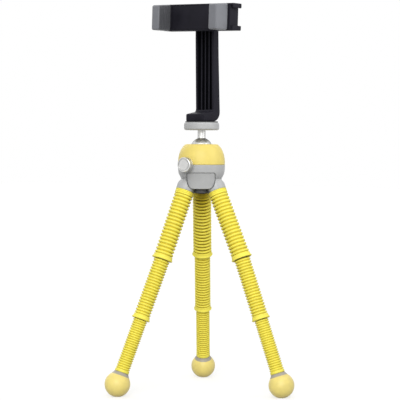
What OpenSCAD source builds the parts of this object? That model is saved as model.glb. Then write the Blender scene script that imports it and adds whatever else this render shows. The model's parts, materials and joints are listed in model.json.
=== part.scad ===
// Flexible mini tripod: three ribbed bendable legs, a ball head and a turning phone clamp.
// Millimetres, +Z up. The clamp faces -Y and its jaws open along X.
// The origin is on the floor, in the middle of the rectangle that the three feet take up.

/* [Leg spread] */
// Direction of the first leg, from +X
legs_turn = 9.35; // [0:0.05:30]
// Distance of a socket mouth's centre from the head's axis
root_r = 16.2; // [15.8:0.1:20]
// Tilt of the second leg's first section from upright
root_tilt = 22.3; // [20:0.1:26]
// Tilt of each leg's second section
mid_tilt_1 = 20.5; // [18:0.1:24]
mid_tilt_2 = 21.7; // [18:0.1:24]
mid_tilt_3 = 21.9; // [18:0.1:24]
// Tilt of each leg's third section
low_tilt_1 = 20.1; // [18:0.1:24]
low_tilt_2 = 20.4; // [18:0.1:24]
low_tilt_3 = 22.0; // [18:0.1:24]

/* [Leg sections] */
// Length of the first section, from the socket to its collar's lower edge
section_1 = 60.6; // [55:0.2:80]
// Length of the second section
section_2 = 53.7; // [48:0.2:75]
// Length of the third section, down to the centre of the foot
section_3 = 57.3; // [52:0.2:80]
// Radius over the ribs of each section
rib_r_1 = 8.1; // [7.7:0.1:8.6]
rib_r_2 = 7.0; // [6.6:0.1:7.4]
rib_r_3 = 6.1; // [5.7:0.1:6.5]
// Spacing of the ribs in each section
rib_pitch_1 = 3.0; // [2.8:0.1:3.6]
rib_pitch_2 = 2.5; // [2.3:0.1:3]
rib_pitch_3 = 2.0; // [1.9:0.1:2.5]
// Rubber left between a groove and the sleeve's bore
sleeve_wall = 1.3; // [1:0.1:1.6]
// Smooth band at a sleeve's plain end
band_h = 2.7; // [2:0.1:3.5]
// Height of a collar between two sections
collar_h = 4.0; // [3:0.1:5]
// How far a collar flares past the ribs
collar_flare = 0.8; // [0.4:0.1:1.2]

/* [Feet] */
// Radius of the rubber ball
foot_r = 10.75; // [10:0.25:13]
// Depth of the flat on which a ball stands
foot_flat = 0.45; // [0.3:0.05:0.8]
// Height of the cone-shaped collar on a ball
foot_collar_h = 2.7; // [2:0.1:3.5]
// Radius of that collar where it meets the ball
foot_collar_r = 7.7; // [7:0.1:8.2]

/* [Hub] */
// Largest radius of the head
body_r = 20.1; // [19.6:0.1:22]
// Height of the joint between hub and cap above the socket mouths
split_h = 23.5; // [23:0.1:26]
// Height of the grey band under the joint
hub_band_h = 7; // [6:0.1:8]
// Radius of the waist under the grey band
waist_r = 17.1; // [16.6:0.1:18.5]
// Height of the waist above the socket mouths
waist_h = 11.5; // [10.5:0.1:13]
// Radius of a socket dome
socket_r = 8.1; // [7.8:0.1:8.4]
// Length of a socket's straight part
socket_h = 7; // [6.6:0.1:8]
// Width of a shield panel at its top
panel_w = 23.7; // [21:0.1:24.5]
// Width of a shield panel at its bottom
panel_foot_w = 11.8; // [10:0.1:14]
// Height of a panel's lower edge above the socket mouths
panel_foot_h = 2.9; // [2.5:0.1:4]
// How far a panel stands proud of the waist
panel_proud = 0.2; // [0.1:0.1:0.6]
// Thickness of a shield panel
panel_t = 1.8; // [1.5:0.1:2]

/* [Ball head] */
// Radius of the ball
ball_r = 9.5; // [9:0.1:9.6]
// Height of the ball's centre above the hub joint
ball_rise = 13.4; // [13:0.1:15]
// Height of the cap
cap_h = 17.4; // [17:0.1:19]
// Radius of the cap's top rim
cap_top_r = 13.55; // [13:0.05:15]
// Wall of the cap
cap_wall = 2.2; // [1.8:0.1:2.6]
// Wall of the cup under the ball
cup_wall = 1.0; // [0.9:0.1:1.1]
// Radius of the neck
neck_r = 3.3; // [2.8:0.1:3.8]
// Height of the plate's underside above the ball's centre
neck_h = 15.9; // [15:0.1:20]
// Radius of the round camera plate
plate_r = 15.0; // [14.5:0.1:18]
// Thickness of the camera plate without its pad
plate_t = 6.7; // [6.2:0.1:9]
// Thickness of the rubber pad on the plate
pad_t = 0.8; // [0.6:0.1:1.5]

/* [Lock knob] */
// Direction of the knob, turned from the third leg
knob_turn = 28; // [26:0.5:30]
// Radius of the knob
knob_r = 6.25; // [5.5:0.05:7]
// Thickness of the knob
knob_t = 4.9; // [4.5:0.1:6]
// Gap between the head and the knob's back
knob_gap = 2.4; // [1.8:0.1:4]
// Thread radius of the lock screw
lock_thread_r = 2.5; // [2:0.1:2.6]

/* [Phone arm] */
// Width of the arm
arm_w = 21; // [20:0.5:24]
// Reach of the arm's foot in front of the head's axis
arm_front = 8.6; // [8:0.1:14]
// Distance from the head's axis back to the arm's inner corner
arm_corner = 4.1; // [4:0.1:6]
// Thickness of the arm's foot and of its bend
arm_t = 8.0; // [7.5:0.1:9]
// Thickness of the stem at the pivot
arm_top_t = 6.0; // [5.5:0.1:7]
// Height of the pivot above the plate's pad
pivot_h = 88.1; // [84:0.1:110]
// Width of the arm's side flanges
flange_w = 2.2; // [1.8:0.1:2.8]
// Depth of the channels between the stem's ribs
channel_depth = 3.4; // [2.5:0.1:4]
// Number of ribs in the stem's channel
stem_ribs = 3; // [1:1:4]
// Width of a rib in the stem's channel
stem_rib_w = 1.3; // [1:0.1:1.6]

/* [Phone clamp] */
// Turn of the clamp on its pivot, right end down
clamp_roll = 2; // [0:0.5:4]
// Height of the clamp
clamp_h = 22.6; // [22.6:0.1:26]
// Thickness of the clamp's body, front to back
clamp_t = 11; // [10.6:0.1:13]
// Gap between the closed jaws
jaw_gap = 55; // [52:0.5:64]
// How far the sliding jaw pulls out
jaw_travel = 35; // [25:0.5:35]
// Width of a jaw
jaw_w = 9; // [8:0.1:11]
// Reach of a jaw in front of the body
jaw_reach = 15.3; // [13:0.1:20]
// Thickness of the rubber on a jaw
jaw_pad_t = 1.8; // [1.2:0.1:2.4]
// Inner width of the accessory shoe
shoe_w = 18.65; // [18.6:0.01:18.8]
// Height under the shoe's lips
shoe_slot = 2.1; // [2:0.05:2.2]
// Thickness of the shoe's lips
shoe_lip_t = 1.3; // [1.2:0.1:1.6]
// Opening between the shoe's lips
shoe_mouth = 14.6; // [12.5:0.1:15]
// Thickness of the shoe's floor beside the fixed jaw
shoe_floor = 2.0; // [1.6:0.1:3]
// Radius of a guide rod
rod_r = 1.25; // [1:0.05:1.3]

/* [Clearances] */
// Gap between a leg link and the sleeve around it
link_gap = 0.3; // [0.2:0.05:0.4]
// Radial clearance of a running pin or shaft
run_gap = 0.07; // [0.05:0.01:0.1]
// Gap between parts that lie side by side
fit_gap = 0.2; // [0.15:0.05:0.3]
// Gap between a collar and the sleeve under it
sleeve_gap = 0.4; // [0.35:0.05:0.6]
// Clearance of a piece pressed or screwed into its hole
seat_gap = 0.03; // [0.02:0.01:0.05]

/* [Hidden] */
$fn = 48;

// How far a cutting tool runs past the face that it cuts
overrun = 1;
// Steps in a curved stretch of a turned outline
curve_steps = 6;
// Turns a round cutter so that its start line stays clear of the edges that it meets
seam_turn = 30;

leg_count = 3;
right_index = 0;
back_index = 1;
left_index = 2;
leg_turn_step = 360 / leg_count;
section_len = [section_1, section_2, section_3];
rib_r = [rib_r_1, rib_r_2, rib_r_3];
rib_pitch = [rib_pitch_1, rib_pitch_2, rib_pitch_3];
mid_tilts = [mid_tilt_1, mid_tilt_2, mid_tilt_3];
low_tilts = [low_tilt_1, low_tilt_2, low_tilt_3];
foot_z = foot_r - foot_flat;
root_z = foot_z + section_1 * cos(root_tilt) + section_2 * cos(mid_tilt_2) + section_3 * cos(low_tilt_2);

function leg_az(leg) = legs_turn + leg * leg_turn_step;
// The first section of every leg takes the tilt that brings its foot down to the floor
function first_tilt(leg) =
    acos((root_z - foot_z - section_2 * cos(mid_tilts[leg]) - section_3 * cos(low_tilts[leg])) / section_1);
function tilt(leg, n) = n == 0 ? first_tilt(leg) : n == 1 ? mid_tilts[leg] : low_tilts[leg];
// Distance from the head's axis, and height, of the upper end of section n; n = 3 is the foot's centre
function section_r(leg, n) =
    n == 0 ? root_r : section_r(leg, n - 1) + section_len[n - 1] * sin(tilt(leg, n - 1));
function section_z(leg, n) =
    n == 0 ? root_z : section_z(leg, n - 1) - section_len[n - 1] * cos(tilt(leg, n - 1));

// The rectangle around the feet, whose middle is the origin
feet_x = [for (leg = [0:leg_count - 1]) section_r(leg, 3) * cos(leg_az(leg))];
feet_y = [for (leg = [0:leg_count - 1]) section_r(leg, 3) * sin(leg_az(leg))];
axis_x = -(min(feet_x) + max(feet_x)) / 2;
axis_y = -(min(feet_y) + max(feet_y)) / 2;

// Ribs and sleeves
groove_share = 0.36;
groove_flat_share = 0.14;
crest_start_share = 0.3;
ribbed_1 = section_1 - band_h - collar_h;
ribbed_2 = section_2 - collar_h - sleeve_gap;
foot_collar_rest = sqrt(foot_r * foot_r - foot_collar_r * foot_collar_r);
sleeve_end = section_3 - foot_collar_rest - foot_collar_h;
ribbed_3 = sleeve_end - sleeve_gap - band_h;
ribs_1 = round(ribbed_1 / rib_pitch_1);
ribs_2 = round(ribbed_2 / rib_pitch_2);
ribs_3 = round(ribbed_3 / rib_pitch_3);
// The first section has two sleeves, and this share of its ribs is on the upper one
upper_ribs_share = 0.45;
upper_ribs = floor(ribs_1 * upper_ribs_share);
pitch_1 = ribbed_1 / ribs_1;
seam_s = band_h + upper_ribs * pitch_1;
collar_edge = 0.8;

function groove_r(n) = rib_r[n] - groove_share * rib_pitch[n];
function bore_r(n) = groove_r(n) - sleeve_wall;
function link_r(n) = bore_r(n) - link_gap;

// Hinges of the leg's core: how far down its section each one lies
hinge_s = [seam_s / 2, (seam_s + section_1 - collar_h) / 2, (section_2 - collar_h) / 2, sleeve_end / 2];
tongue_share = 0.62;
pin_share = 0.3;
pin_reach_share = 0.88;
knuckle_gap = 0.4;
socket_bore_h = 9;
function knuckle_h(n) = link_r(n) + knuckle_gap;
function tongue_w(n) = tongue_share * link_r(n);

// Feet
foot_collar_top_r = rib_r_3;
foot_collar_run = 1.2;
stud_depth_share = 0.6;
foot_stud_s = section_3 - foot_r * (1 - stud_depth_share);

// Hub
hub_bottom_h = 1.8;
hub_bottom_r = 9.5;
band_low_h = split_h - hub_band_h;
band_narrowing = 0.5;
band_low_r = body_r - band_narrowing;
hub_cup_depth = 4.5;
hub_floor_h = split_h - hub_cup_depth;
panel_top_h = band_low_h - fit_gap;
panel_h = panel_top_h - panel_foot_h;
panel_corner = 1.5;
panel_straight_share = 0.28;
shell_screw_r = 1.25;
shell_screw_head_r = 2.25;
shell_screw_head_h = 3;
shell_screw_wall = 0.5;
shell_screw_ring = waist_r + panel_proud - panel_t - shell_screw_head_r - shell_screw_wall;
shell_screw_seat = waist_h - shell_screw_wall;
shell_screw_grip = 6.5;
shell_screw_top = split_h + shell_screw_grip;
base_plate_t = 2.4;
base_screw_r = 1.5;
base_screw_l = 10;
base_screw_head_r = 2.75;
base_screw_head_h = 1.2;

// Ball, cup and cap
ball_h = split_h + ball_rise;
cap_top_h = split_h + cap_h;
seat_r = ball_r + run_gap;
cup_r = ball_r + cup_wall;
cup_bore_r = cup_r + fit_gap;
cup_floor = 2.6;
cup_bottom_h = ball_h - ball_r - cup_floor;
cup_rim_drop = 2;
cup_top_h = ball_h - cup_rim_drop;
cup_chamfer = 3;
tube_wall = 1.9;
tube_r = cup_bore_r + tube_wall;
cavity_low_share = 0.29;
cavity_top_share = 0.55;
cavity_low_h = split_h + cap_h * cavity_low_share;
cavity_top_h = split_h + cap_h * cavity_top_share;
cavity_top_w = 2.7;
cavity_top_r = tube_r + cavity_top_w;
cap_bulge_share = 0.72;
spring_r = 4.6;
spring_wire = 1.1;
boss_r = 3.2;

// Lock
lock_shoe_r = 3;
lock_shoe_l = 6.5;
// The shoe's nose cone is one fit gap away from the cup's chamfer
nose_start = split_h - (cup_bottom_h - (cup_r - cup_chamfer)) + fit_gap * sqrt(2);
shoe_end = nose_start + lock_shoe_l;
nut_t = 3;
nut_w = 8;
nut_clearance = 1.8;
nut_start = shoe_end + nut_clearance;
knob_back = body_r + knob_gap;
knob_reach = knob_back + knob_t;
knob_edge = 0.6;
screw_end = knob_back + knob_t / 2;

// Plate and camera screw
plate_z = root_z + ball_h + neck_h;
pad_z = plate_z + plate_t;
top_z = pad_z + pad_t;
plate_edge = 0.8;
neck_seat = 4;
camera_thread_r = 3.175;
camera_screw_l = 5;
camera_flange_r = 6;
camera_flange_t = 1.7;
pad_inset = 1;
pad_r = plate_r - pad_inset;

// Phone arm, in a frame whose origin is on the head's axis at the top of the pad
insert_r = 4.6;
insert_l = 5.6;
arm_straight_run = 8;
arm_straight_z = pivot_h - clamp_h / 2 - arm_straight_run;
channel_hidden = 1;
channel_top_z = pivot_h - clamp_h / 2 + channel_hidden;
channel_foot = 2;
channel_low_z = arm_t + channel_foot;
rib_step_back = 1.4;
arm_lean = 0.9;
arm_face_y = arm_corner - arm_lean;
bolt_r = 2.5;
bolt_head_r = 4.5;
bolt_head_t = 2.4;
// Depth of the round seat that is cut into the arm's back for the bolt's head
bolt_seat_depth = 0.3;
washer_r = 8;
washer_t = 1.0;

// Clamp, in a frame whose origin is on its pivot, on the body's back face
body_half = jaw_gap / 2;
end_wall = 4;
back_wall = 2.6;
side_wall = 2;
cover_t = 1.6;
cover_rim = 1.2;
boss_t = clamp_t - back_wall - cover_t - fit_gap;
clamp_boss_r = 4.5;
rod_y = back_wall + (clamp_t - back_wall - cover_t) / 2;
spring_wall = 0.65;
clamp_spring_r = rod_r + fit_gap + spring_wall;
rod_z = clamp_h / 2 - side_wall - clamp_spring_r - fit_gap;
rod_seat = 6;
rod_head_t = 1.5;
closed_spring_l = 7;
rod_end = end_wall + closed_spring_l + rod_head_t + jaw_travel - body_half;
rod_head_r = clamp_spring_r - fit_gap / 2;
cover_screw_r = 1.1;
cover_screw_head_r = 1.8;
cover_screw_head_h = 1.3;
cover_screw_x = body_half - cover_rim - cover_screw_r - fit_gap - seat_gap;
shoe_x = body_half + jaw_w + shoe_floor;
shoe_end_x = shoe_x + shoe_slot + shoe_lip_t;

// Points of a curve from a to c that leans towards b
function curve(a, b, c) = [for (i = [0:curve_steps]) let (t = i / curve_steps)
    (1 - t) * (1 - t) * a + 2 * t * (1 - t) * b + t * t * c];

// Moves what is drawn about the head's axis into the part's own frame
module about_axis() { translate([axis_x, axis_y, 0]) children(); }
// The same, with the origin at the height of the socket mouths
module on_hub() { about_axis() translate([0, 0, root_z]) children(); }
// The upper end of section n of a leg: +Z runs down the section
module at_section(leg, n) {
    about_axis() rotate([0, 0, leg_az(leg)]) translate([section_r(leg, n), 0, section_z(leg, n)])
        rotate([0, 180 - tilt(leg, n), 0]) children();
}
// The lock's axis: +Z points outwards
module at_lock() {
    on_hub() rotate([0, 0, leg_az(left_index) + knob_turn]) translate([0, 0, split_h])
        rotate([0, 90, 0]) children();
}
module on_plate() { about_axis() translate([0, 0, top_z]) children(); }
module at_clamp() {
    on_plate() translate([0, arm_face_y - washer_t, pivot_h]) rotate([0, clamp_roll, 0]) children();
}
// A cylinder along -Y that starts at the origin
module rod_front(r, h) { rotate([90, 0, 0]) cylinder(r = r, h = h); }

// Hub

module hub_outline() {
    polygon(concat([[0, hub_bottom_h], [hub_bottom_r, hub_bottom_h]],
        [[waist_r, waist_h]],
        curve([band_low_r, band_low_h], [body_r, band_low_h + (split_h - band_low_h) / 2], [body_r, split_h]),
        [[0, split_h]]));
}

// A shield outline that hangs from the origin, grown by a margin
module shield(grow) {
    half = panel_w / 2 + grow;
    foot = panel_foot_w / 2 + grow;
    low = panel_h + grow;
    side = curve([half, -panel_h * panel_straight_share], [half, -low], [foot, -low]);
    right = concat([[half - panel_corner, grow], [half, grow - panel_corner]], side);
    left = [for (i = [len(right) - 1:-1:0]) [-right[i][0], right[i][1]]];
    polygon(concat(right, left));
}
// The shield outline pushed outwards through the hub, under the middle between two legs
module shield_prism(grow) {
    translate([0, 0, panel_top_h]) rotate([90, 0, 90]) linear_extrude(body_r + overrun) shield(grow);
}
// A turned shape that follows the waist and the slope over it, at a distance
module waist_form(margin) {
    rotate_extrude() polygon([[0, 0], [waist_r + margin, 0], [waist_r + margin, waist_h],
        [band_low_r + margin, band_low_h], [band_low_r + margin, band_low_h + overrun],
        [0, band_low_h + overrun]]);
}
// The room around a panel, down to the face that it lies on
module panel_room() {
    difference() {
        shield_prism(fit_gap);
        waist_form(panel_proud - panel_t);
    }
}
module panel_places() {
    for (leg = [0:leg_count - 1]) on_hub() rotate([0, 0, leg_az(leg) + leg_turn_step / 2]) children();
}
module socket_dome(leg, grow) {
    r = socket_r + grow;
    at_section(leg, 0) translate([0, 0, -socket_h]) rotate_extrude() intersection() {
        union() {
            circle(r = r);
            translate([-r, 0]) square([2 * r, socket_h]);
        }
        translate([0, -r]) square([r, r + socket_h]);
    }
}
// The rooms in which the root links sit, grown by a margin
module root_link_rooms(margin) {
    for (leg = [0:leg_count - 1]) at_section(leg, 0) translate([0, 0, -socket_bore_h - margin])
        cylinder(r = link_r(0) + margin, h = socket_bore_h + margin + overrun);
}
module shell_screw_places() { panel_places() translate([shell_screw_ring, 0, 0]) children(); }

// Room for the screw, the nut and the shoe, half in the hub and half in the cap
module lock_room() {
    at_lock() {
        cylinder(r = lock_shoe_r + run_gap, h = nut_start);
        cylinder(r = lock_thread_r + fit_gap, h = body_r + overrun);
        translate([-nut_w / 2 - seat_gap, -nut_w / 2 - seat_gap, nut_start])
            cube([nut_w + 2 * seat_gap, nut_w + 2 * seat_gap, nut_t]);
    }
}

module hub_shell() {
    color("darkgray") difference() {
        union() {
            on_hub() rotate_extrude() hub_outline();
            panel_places() intersection() {
                waist_form(panel_proud - panel_t);
                shield_prism(0);
            }
        }
        on_hub() translate([0, 0, hub_floor_h]) cylinder(r = cup_bore_r, h = split_h);
        panel_places() panel_room();
        for (leg = [0:leg_count - 1]) socket_dome(leg, seat_gap);
        shell_screw_places() {
            cylinder(r = shell_screw_r + fit_gap, h = split_h + overrun);
            cylinder(r = shell_screw_head_r + fit_gap, h = shell_screw_seat);
        }
        on_hub() cylinder(r = base_screw_r + seat_gap, h = hub_bottom_h + base_screw_l);
        lock_room();
    }
}

module hub_panels() {
    color("silver") difference() {
        panel_places() intersection() {
            difference() {
                waist_form(panel_proud);
                waist_form(panel_proud - panel_t);
            }
            shield_prism(0);
        }
        root_link_rooms(fit_gap);
    }
}

module leg_sockets() {
    color("lightgray") for (leg = [0:leg_count - 1]) difference() {
        socket_dome(leg, 0);
        root_link_rooms(seat_gap);
        for (side = [-1, 1]) on_hub() rotate([0, 0, leg_az(leg) + side * leg_turn_step / 2]) panel_room();
    }
}

// A small plate under the hub, in the room that the three sockets leave
module base_plate() {
    color("dimgray") difference() {
        on_hub() translate([0, 0, hub_bottom_h - base_plate_t]) cylinder(r = hub_bottom_r, h = base_plate_t);
        for (leg = [0:leg_count - 1]) at_section(leg, 0) translate([0, 0, -section_1 / 2])
            cylinder(r = max(socket_r, rib_r_1) + fit_gap, h = section_1);
        on_hub() translate([0, 0, hub_bottom_h - base_plate_t - overrun])
            cylinder(r = base_screw_r + fit_gap, h = base_plate_t + 2 * overrun);
        on_hub() translate([0, 0, hub_bottom_h - base_plate_t - overrun])
            cylinder(r = base_screw_head_r + fit_gap, h = base_screw_head_h + overrun);
    }
}

module base_screw() {
    color("gray") on_hub() translate([0, 0, hub_bottom_h - base_plate_t]) {
        cylinder(r = base_screw_head_r, h = base_screw_head_h);
        cylinder(r = base_screw_r, h = base_screw_l);
    }
}

module shell_screws() {
    color("gray") shell_screw_places() {
        translate([0, 0, shell_screw_seat - shell_screw_head_h])
            cylinder(r = shell_screw_head_r, h = shell_screw_head_h);
        translate([0, 0, shell_screw_seat - shell_screw_head_h])
            cylinder(r = shell_screw_r, h = shell_screw_top - shell_screw_seat + shell_screw_head_h);
    }
}

// Ball head

module cap_outline() {
    polygon(concat([[0, split_h]],
        curve([body_r, split_h], [body_r, split_h + cap_h * cap_bulge_share], [cap_top_r, cap_top_h]),
        [[0, cap_top_h]]));
}

module head_cap() {
    color("gold") difference() {
        on_hub() rotate_extrude() cap_outline();
        on_hub() {
            translate([0, 0, split_h - overrun])
                cylinder(r = cup_bore_r, h = cup_top_h + fit_gap - split_h + overrun);
            translate([0, 0, ball_h]) sphere(r = seat_r);
            difference() {
                rotate_extrude() polygon([[tube_r, split_h - overrun], [body_r - cap_wall, split_h - overrun],
                    [body_r - cap_wall, cavity_low_h], [cavity_top_r, cavity_top_h], [tube_r, cavity_top_h]]);
                for (leg = [0:leg_count - 1]) rotate([0, 0, leg_az(leg) + leg_turn_step / 2])
                    translate([shell_screw_ring, 0, split_h - 2 * overrun]) cylinder(r = boss_r, h = cap_h);
            }
        }
        shell_screw_places() translate([0, 0, split_h - overrun])
            cylinder(r = shell_screw_r + seat_gap, h = shell_screw_top - split_h + overrun + fit_gap);
        lock_room();
    }
}

module ball_cup() {
    color("whitesmoke") on_hub() difference() {
        rotate_extrude() polygon([[0, cup_bottom_h], [cup_r - cup_chamfer, cup_bottom_h],
            [cup_r, cup_bottom_h + cup_chamfer], [cup_r, cup_top_h], [0, cup_top_h]]);
        translate([0, 0, ball_h]) sphere(r = seat_r);
    }
}

module cup_spring() {
    color("silver") on_hub() translate([0, 0, hub_floor_h]) difference() {
        cylinder(r = spring_r, h = cup_bottom_h - hub_floor_h);
        translate([0, 0, -overrun]) cylinder(r = spring_r - spring_wire, h = cup_bottom_h + overrun);
    }
}

module lock_nut() {
    color("goldenrod") at_lock() difference() {
        translate([-nut_w / 2, -nut_w / 2, nut_start]) cube([nut_w, nut_w, nut_t]);
        translate([0, 0, nut_start - overrun]) cylinder(r = lock_thread_r + run_gap, h = nut_t + 2 * overrun);
    }
}

module lock_shoe() {
    color("gray") at_lock() rotate_extrude() polygon([[0, nose_start],
        [lock_shoe_r, nose_start + lock_shoe_r], [lock_shoe_r, shoe_end], [0, shoe_end]]);
}

module lock_screw() {
    color("lightgray") at_lock() translate([0, 0, shoe_end])
        cylinder(r = lock_thread_r, h = screw_end - shoe_end);
}

module lock_knob() {
    color("gainsboro") at_lock() difference() {
        rotate_extrude() polygon([[0, knob_back], [knob_r - knob_edge, knob_back],
            [knob_r, knob_back + knob_edge], [knob_r, knob_reach - knob_edge],
            [knob_r - knob_edge, knob_reach], [0, knob_reach]]);
        translate([0, 0, knob_back - overrun])
            cylinder(r = lock_thread_r + seat_gap, h = screw_end - knob_back + overrun);
    }
}

module ball_stud() {
    color("silver") on_hub() translate([0, 0, ball_h]) {
        sphere(r = ball_r);
        cylinder(r = neck_r, h = neck_h + neck_seat);
    }
}

module camera_plate() {
    color("lightgray") about_axis() translate([0, 0, plate_z]) difference() {
        rotate_extrude() polygon([[0, 0], [plate_r - plate_edge, 0], [plate_r, plate_edge],
            [plate_r, plate_t - plate_edge], [plate_r - plate_edge, plate_t], [0, plate_t]]);
        translate([0, 0, -overrun]) cylinder(r = neck_r + seat_gap, h = neck_seat + overrun);
        translate([0, 0, plate_t - camera_flange_t])
            cylinder(r = camera_flange_r + fit_gap, h = camera_flange_t + overrun);
    }
}

module plate_pad() {
    color("black") about_axis() translate([0, 0, pad_z]) difference() {
        cylinder(r = pad_r, h = pad_t);
        translate([0, 0, -overrun]) cylinder(r = camera_thread_r + fit_gap, h = pad_t + 2 * overrun);
    }
}

module camera_screw() {
    color("silver") about_axis() translate([0, 0, pad_z - camera_flange_t]) {
        cylinder(r = camera_flange_r, h = camera_flange_t);
        cylinder(r = camera_thread_r, h = camera_flange_t + pad_t + camera_screw_l);
    }
}

// Phone arm

// The stem's side outline in the Y-Z plane: its front face leans a little, then stands upright at the pivot
module stem_outline() {
    polygon([[arm_corner, arm_t], [arm_face_y, arm_straight_z], [arm_face_y, pivot_h],
        [arm_face_y + arm_top_t, pivot_h], [arm_corner + arm_t, arm_t]]);
}
module stem_slab(x_low, x_high) {
    translate([x_low, 0, 0]) rotate([90, 0, 90]) linear_extrude(x_high - x_low) stem_outline();
}
inner_w = arm_w - 2 * flange_w;
rib_spacing = inner_w / (stem_ribs + 1);

module phone_arm() {
    color("#202024") on_plate() difference() {
        union() {
            translate([-arm_w / 2, -arm_front, 0]) cube([arm_w, arm_front + arm_corner, arm_t]);
            translate([-arm_w / 2, arm_corner, arm_t]) rotate([0, 90, 0]) cylinder(r = arm_t, h = arm_w);
            stem_slab(-arm_w / 2, arm_w / 2);
            translate([0, arm_face_y + arm_top_t, pivot_h]) rod_front(arm_w / 2, arm_top_t);
        }
        // The bend's cylinder is cut away where it would stand above the foot
        translate([-arm_w / 2 - overrun, arm_corner - arm_t - overrun, arm_t])
            cube([arm_w + 2 * overrun, arm_t + overrun, arm_t + overrun]);
        difference() {
            translate([-inner_w / 2, arm_face_y - channel_depth, channel_low_z])
                cube([inner_w, 2 * channel_depth, channel_top_z - channel_low_z]);
            for (i = [1:stem_ribs]) translate([-inner_w / 2 + i * rib_spacing - stem_rib_w / 2,
                arm_face_y + rib_step_back, channel_low_z - overrun])
                cube([stem_rib_w, 2 * channel_depth, channel_top_z]);
        }
        translate([0, 0, -overrun]) cylinder(r = insert_r + seat_gap, h = insert_l + overrun);
        translate([0, arm_face_y + arm_top_t + overrun, pivot_h]) {
            rod_front(bolt_r + run_gap, arm_top_t + 2 * overrun);
            rod_front(bolt_head_r + fit_gap, bolt_seat_depth + overrun);
        }
    }
}

module arm_insert() {
    color("goldenrod") on_plate() difference() {
        cylinder(r = insert_r, h = insert_l);
        translate([0, 0, -overrun]) cylinder(r = camera_thread_r + run_gap, h = insert_l + 2 * overrun);
    }
}

module pivot_bolt() {
    bolt_back = washer_t + arm_top_t - bolt_seat_depth + bolt_head_t;
    color("silver") at_clamp() translate([0, bolt_back, 0]) {
        rod_front(bolt_head_r, bolt_head_t);
        rod_front(bolt_r, bolt_back + back_wall + boss_t - fit_gap);
    }
}

module pivot_washer() {
    color("gray") at_clamp() difference() {
        translate([0, washer_t, 0]) rod_front(washer_r, washer_t);
        translate([0, washer_t + overrun, 0]) rod_front(bolt_r + run_gap, washer_t + 2 * overrun);
    }
}

// Phone clamp: x runs along the clamp, -y is the front, and the back face is y = 0

module block(x_low, x_high, y_front, y_back, height) {
    translate([x_low, -y_front, -height / 2]) cube([x_high - x_low, y_front - y_back, height]);
}
module rod_places() {
    for (side = [-1, 1]) translate([0, -rod_y, side * rod_z]) rotate([0, 90, 0]) children();
}
module cover_screw_places() {
    for (side = [-1, 1]) translate([side * cover_screw_x, 0, 0]) children();
}

module clamp_body() {
    core_front = clamp_t + jaw_reach - jaw_pad_t;
    color("#202024") at_clamp() difference() {
        union() {
            difference() {
                block(-body_half, shoe_end_x, clamp_t, 0, clamp_h);
                block(-body_half + end_wall, body_half - end_wall, clamp_t + overrun, back_wall,
                    clamp_h - 2 * side_wall);
                block(-body_half + cover_rim, body_half - cover_rim, clamp_t + overrun, clamp_t - cover_t,
                    clamp_h - 2 * cover_rim);
            }
            translate([0, -back_wall, 0]) rod_front(clamp_boss_r, boss_t);
            block(body_half + jaw_pad_t, body_half + jaw_w - jaw_pad_t, core_front, clamp_t / 2,
                clamp_h - 2 * jaw_pad_t);
        }
        block(shoe_x, shoe_x + shoe_slot, clamp_t + overrun, -overrun, shoe_w);
        block(shoe_x, shoe_end_x + overrun, clamp_t + overrun, -overrun, shoe_mouth);
        translate([0, overrun, 0]) rod_front(bolt_r + seat_gap, clamp_t);
        rod_places() translate([0, 0, -body_half - overrun])
            cylinder(r = rod_r + run_gap, h = end_wall + 2 * overrun);
        cover_screw_places() {
            translate([0, overrun, 0]) rod_front(cover_screw_r + fit_gap, clamp_t);
            translate([0, overrun, 0]) rod_front(cover_screw_head_r + fit_gap, cover_screw_head_h + overrun);
        }
    }
}

module clamp_cover() {
    color("#26262b") at_clamp() difference() {
        block(-body_half + cover_rim + seat_gap, body_half - cover_rim - seat_gap, clamp_t, clamp_t - cover_t,
            clamp_h - 2 * cover_rim - 2 * seat_gap);
        cover_screw_places() translate([0, -clamp_t + cover_t + overrun, 0])
            rod_front(cover_screw_r + seat_gap, cover_t / 2 + overrun);
    }
}

module cover_screws() {
    color("silver") at_clamp() cover_screw_places() {
        rod_front(cover_screw_head_r, cover_screw_head_h);
        rod_front(cover_screw_r, clamp_t - cover_t / 2 - seat_gap);
    }
}

// A rubber boot over a jaw's core, from x_low to x_high
module jaw_boot(x_low, x_high) {
    difference() {
        block(x_low, x_high, clamp_t + jaw_reach, clamp_t, clamp_h);
        block(x_low + jaw_pad_t - seat_gap, x_high - jaw_pad_t + seat_gap,
            clamp_t + jaw_reach - jaw_pad_t + seat_gap, clamp_t - overrun,
            clamp_h - 2 * jaw_pad_t + 2 * seat_gap);
    }
}

module fixed_jaw_pad() { color("gray") at_clamp() jaw_boot(body_half, body_half + jaw_w); }
module sliding_jaw_pad() { color("gray") at_clamp() jaw_boot(-body_half - jaw_w, -body_half); }

module sliding_jaw() {
    color("#202024") at_clamp() difference() {
        union() {
            block(-body_half - jaw_w, -body_half, clamp_t, 0, clamp_h);
            block(-body_half - jaw_w + jaw_pad_t, -body_half - jaw_pad_t,
                clamp_t + jaw_reach - jaw_pad_t, clamp_t / 2, clamp_h - 2 * jaw_pad_t);
        }
        rod_places() translate([0, 0, -body_half - rod_seat])
            cylinder(r = rod_r + seat_gap, h = rod_seat + overrun);
    }
}

module guide_rods() {
    color("silver") at_clamp() rod_places() {
        translate([0, 0, -body_half - rod_seat]) cylinder(r = rod_r, h = body_half + rod_seat + rod_end);
        translate([0, 0, rod_end - rod_head_t]) cylinder(r = rod_head_r, h = rod_head_t);
    }
}

module clamp_springs() {
    color("silver") at_clamp() rod_places() translate([0, 0, -body_half + end_wall]) difference() {
        cylinder(r = clamp_spring_r, h = body_half - end_wall + rod_end - rod_head_t);
        translate([0, 0, -overrun]) cylinder(r = rod_r + fit_gap, h = 2 * body_half + 2 * overrun);
    }
}

// Leg sleeves: a ribbed rubber tube along +Z

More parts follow.
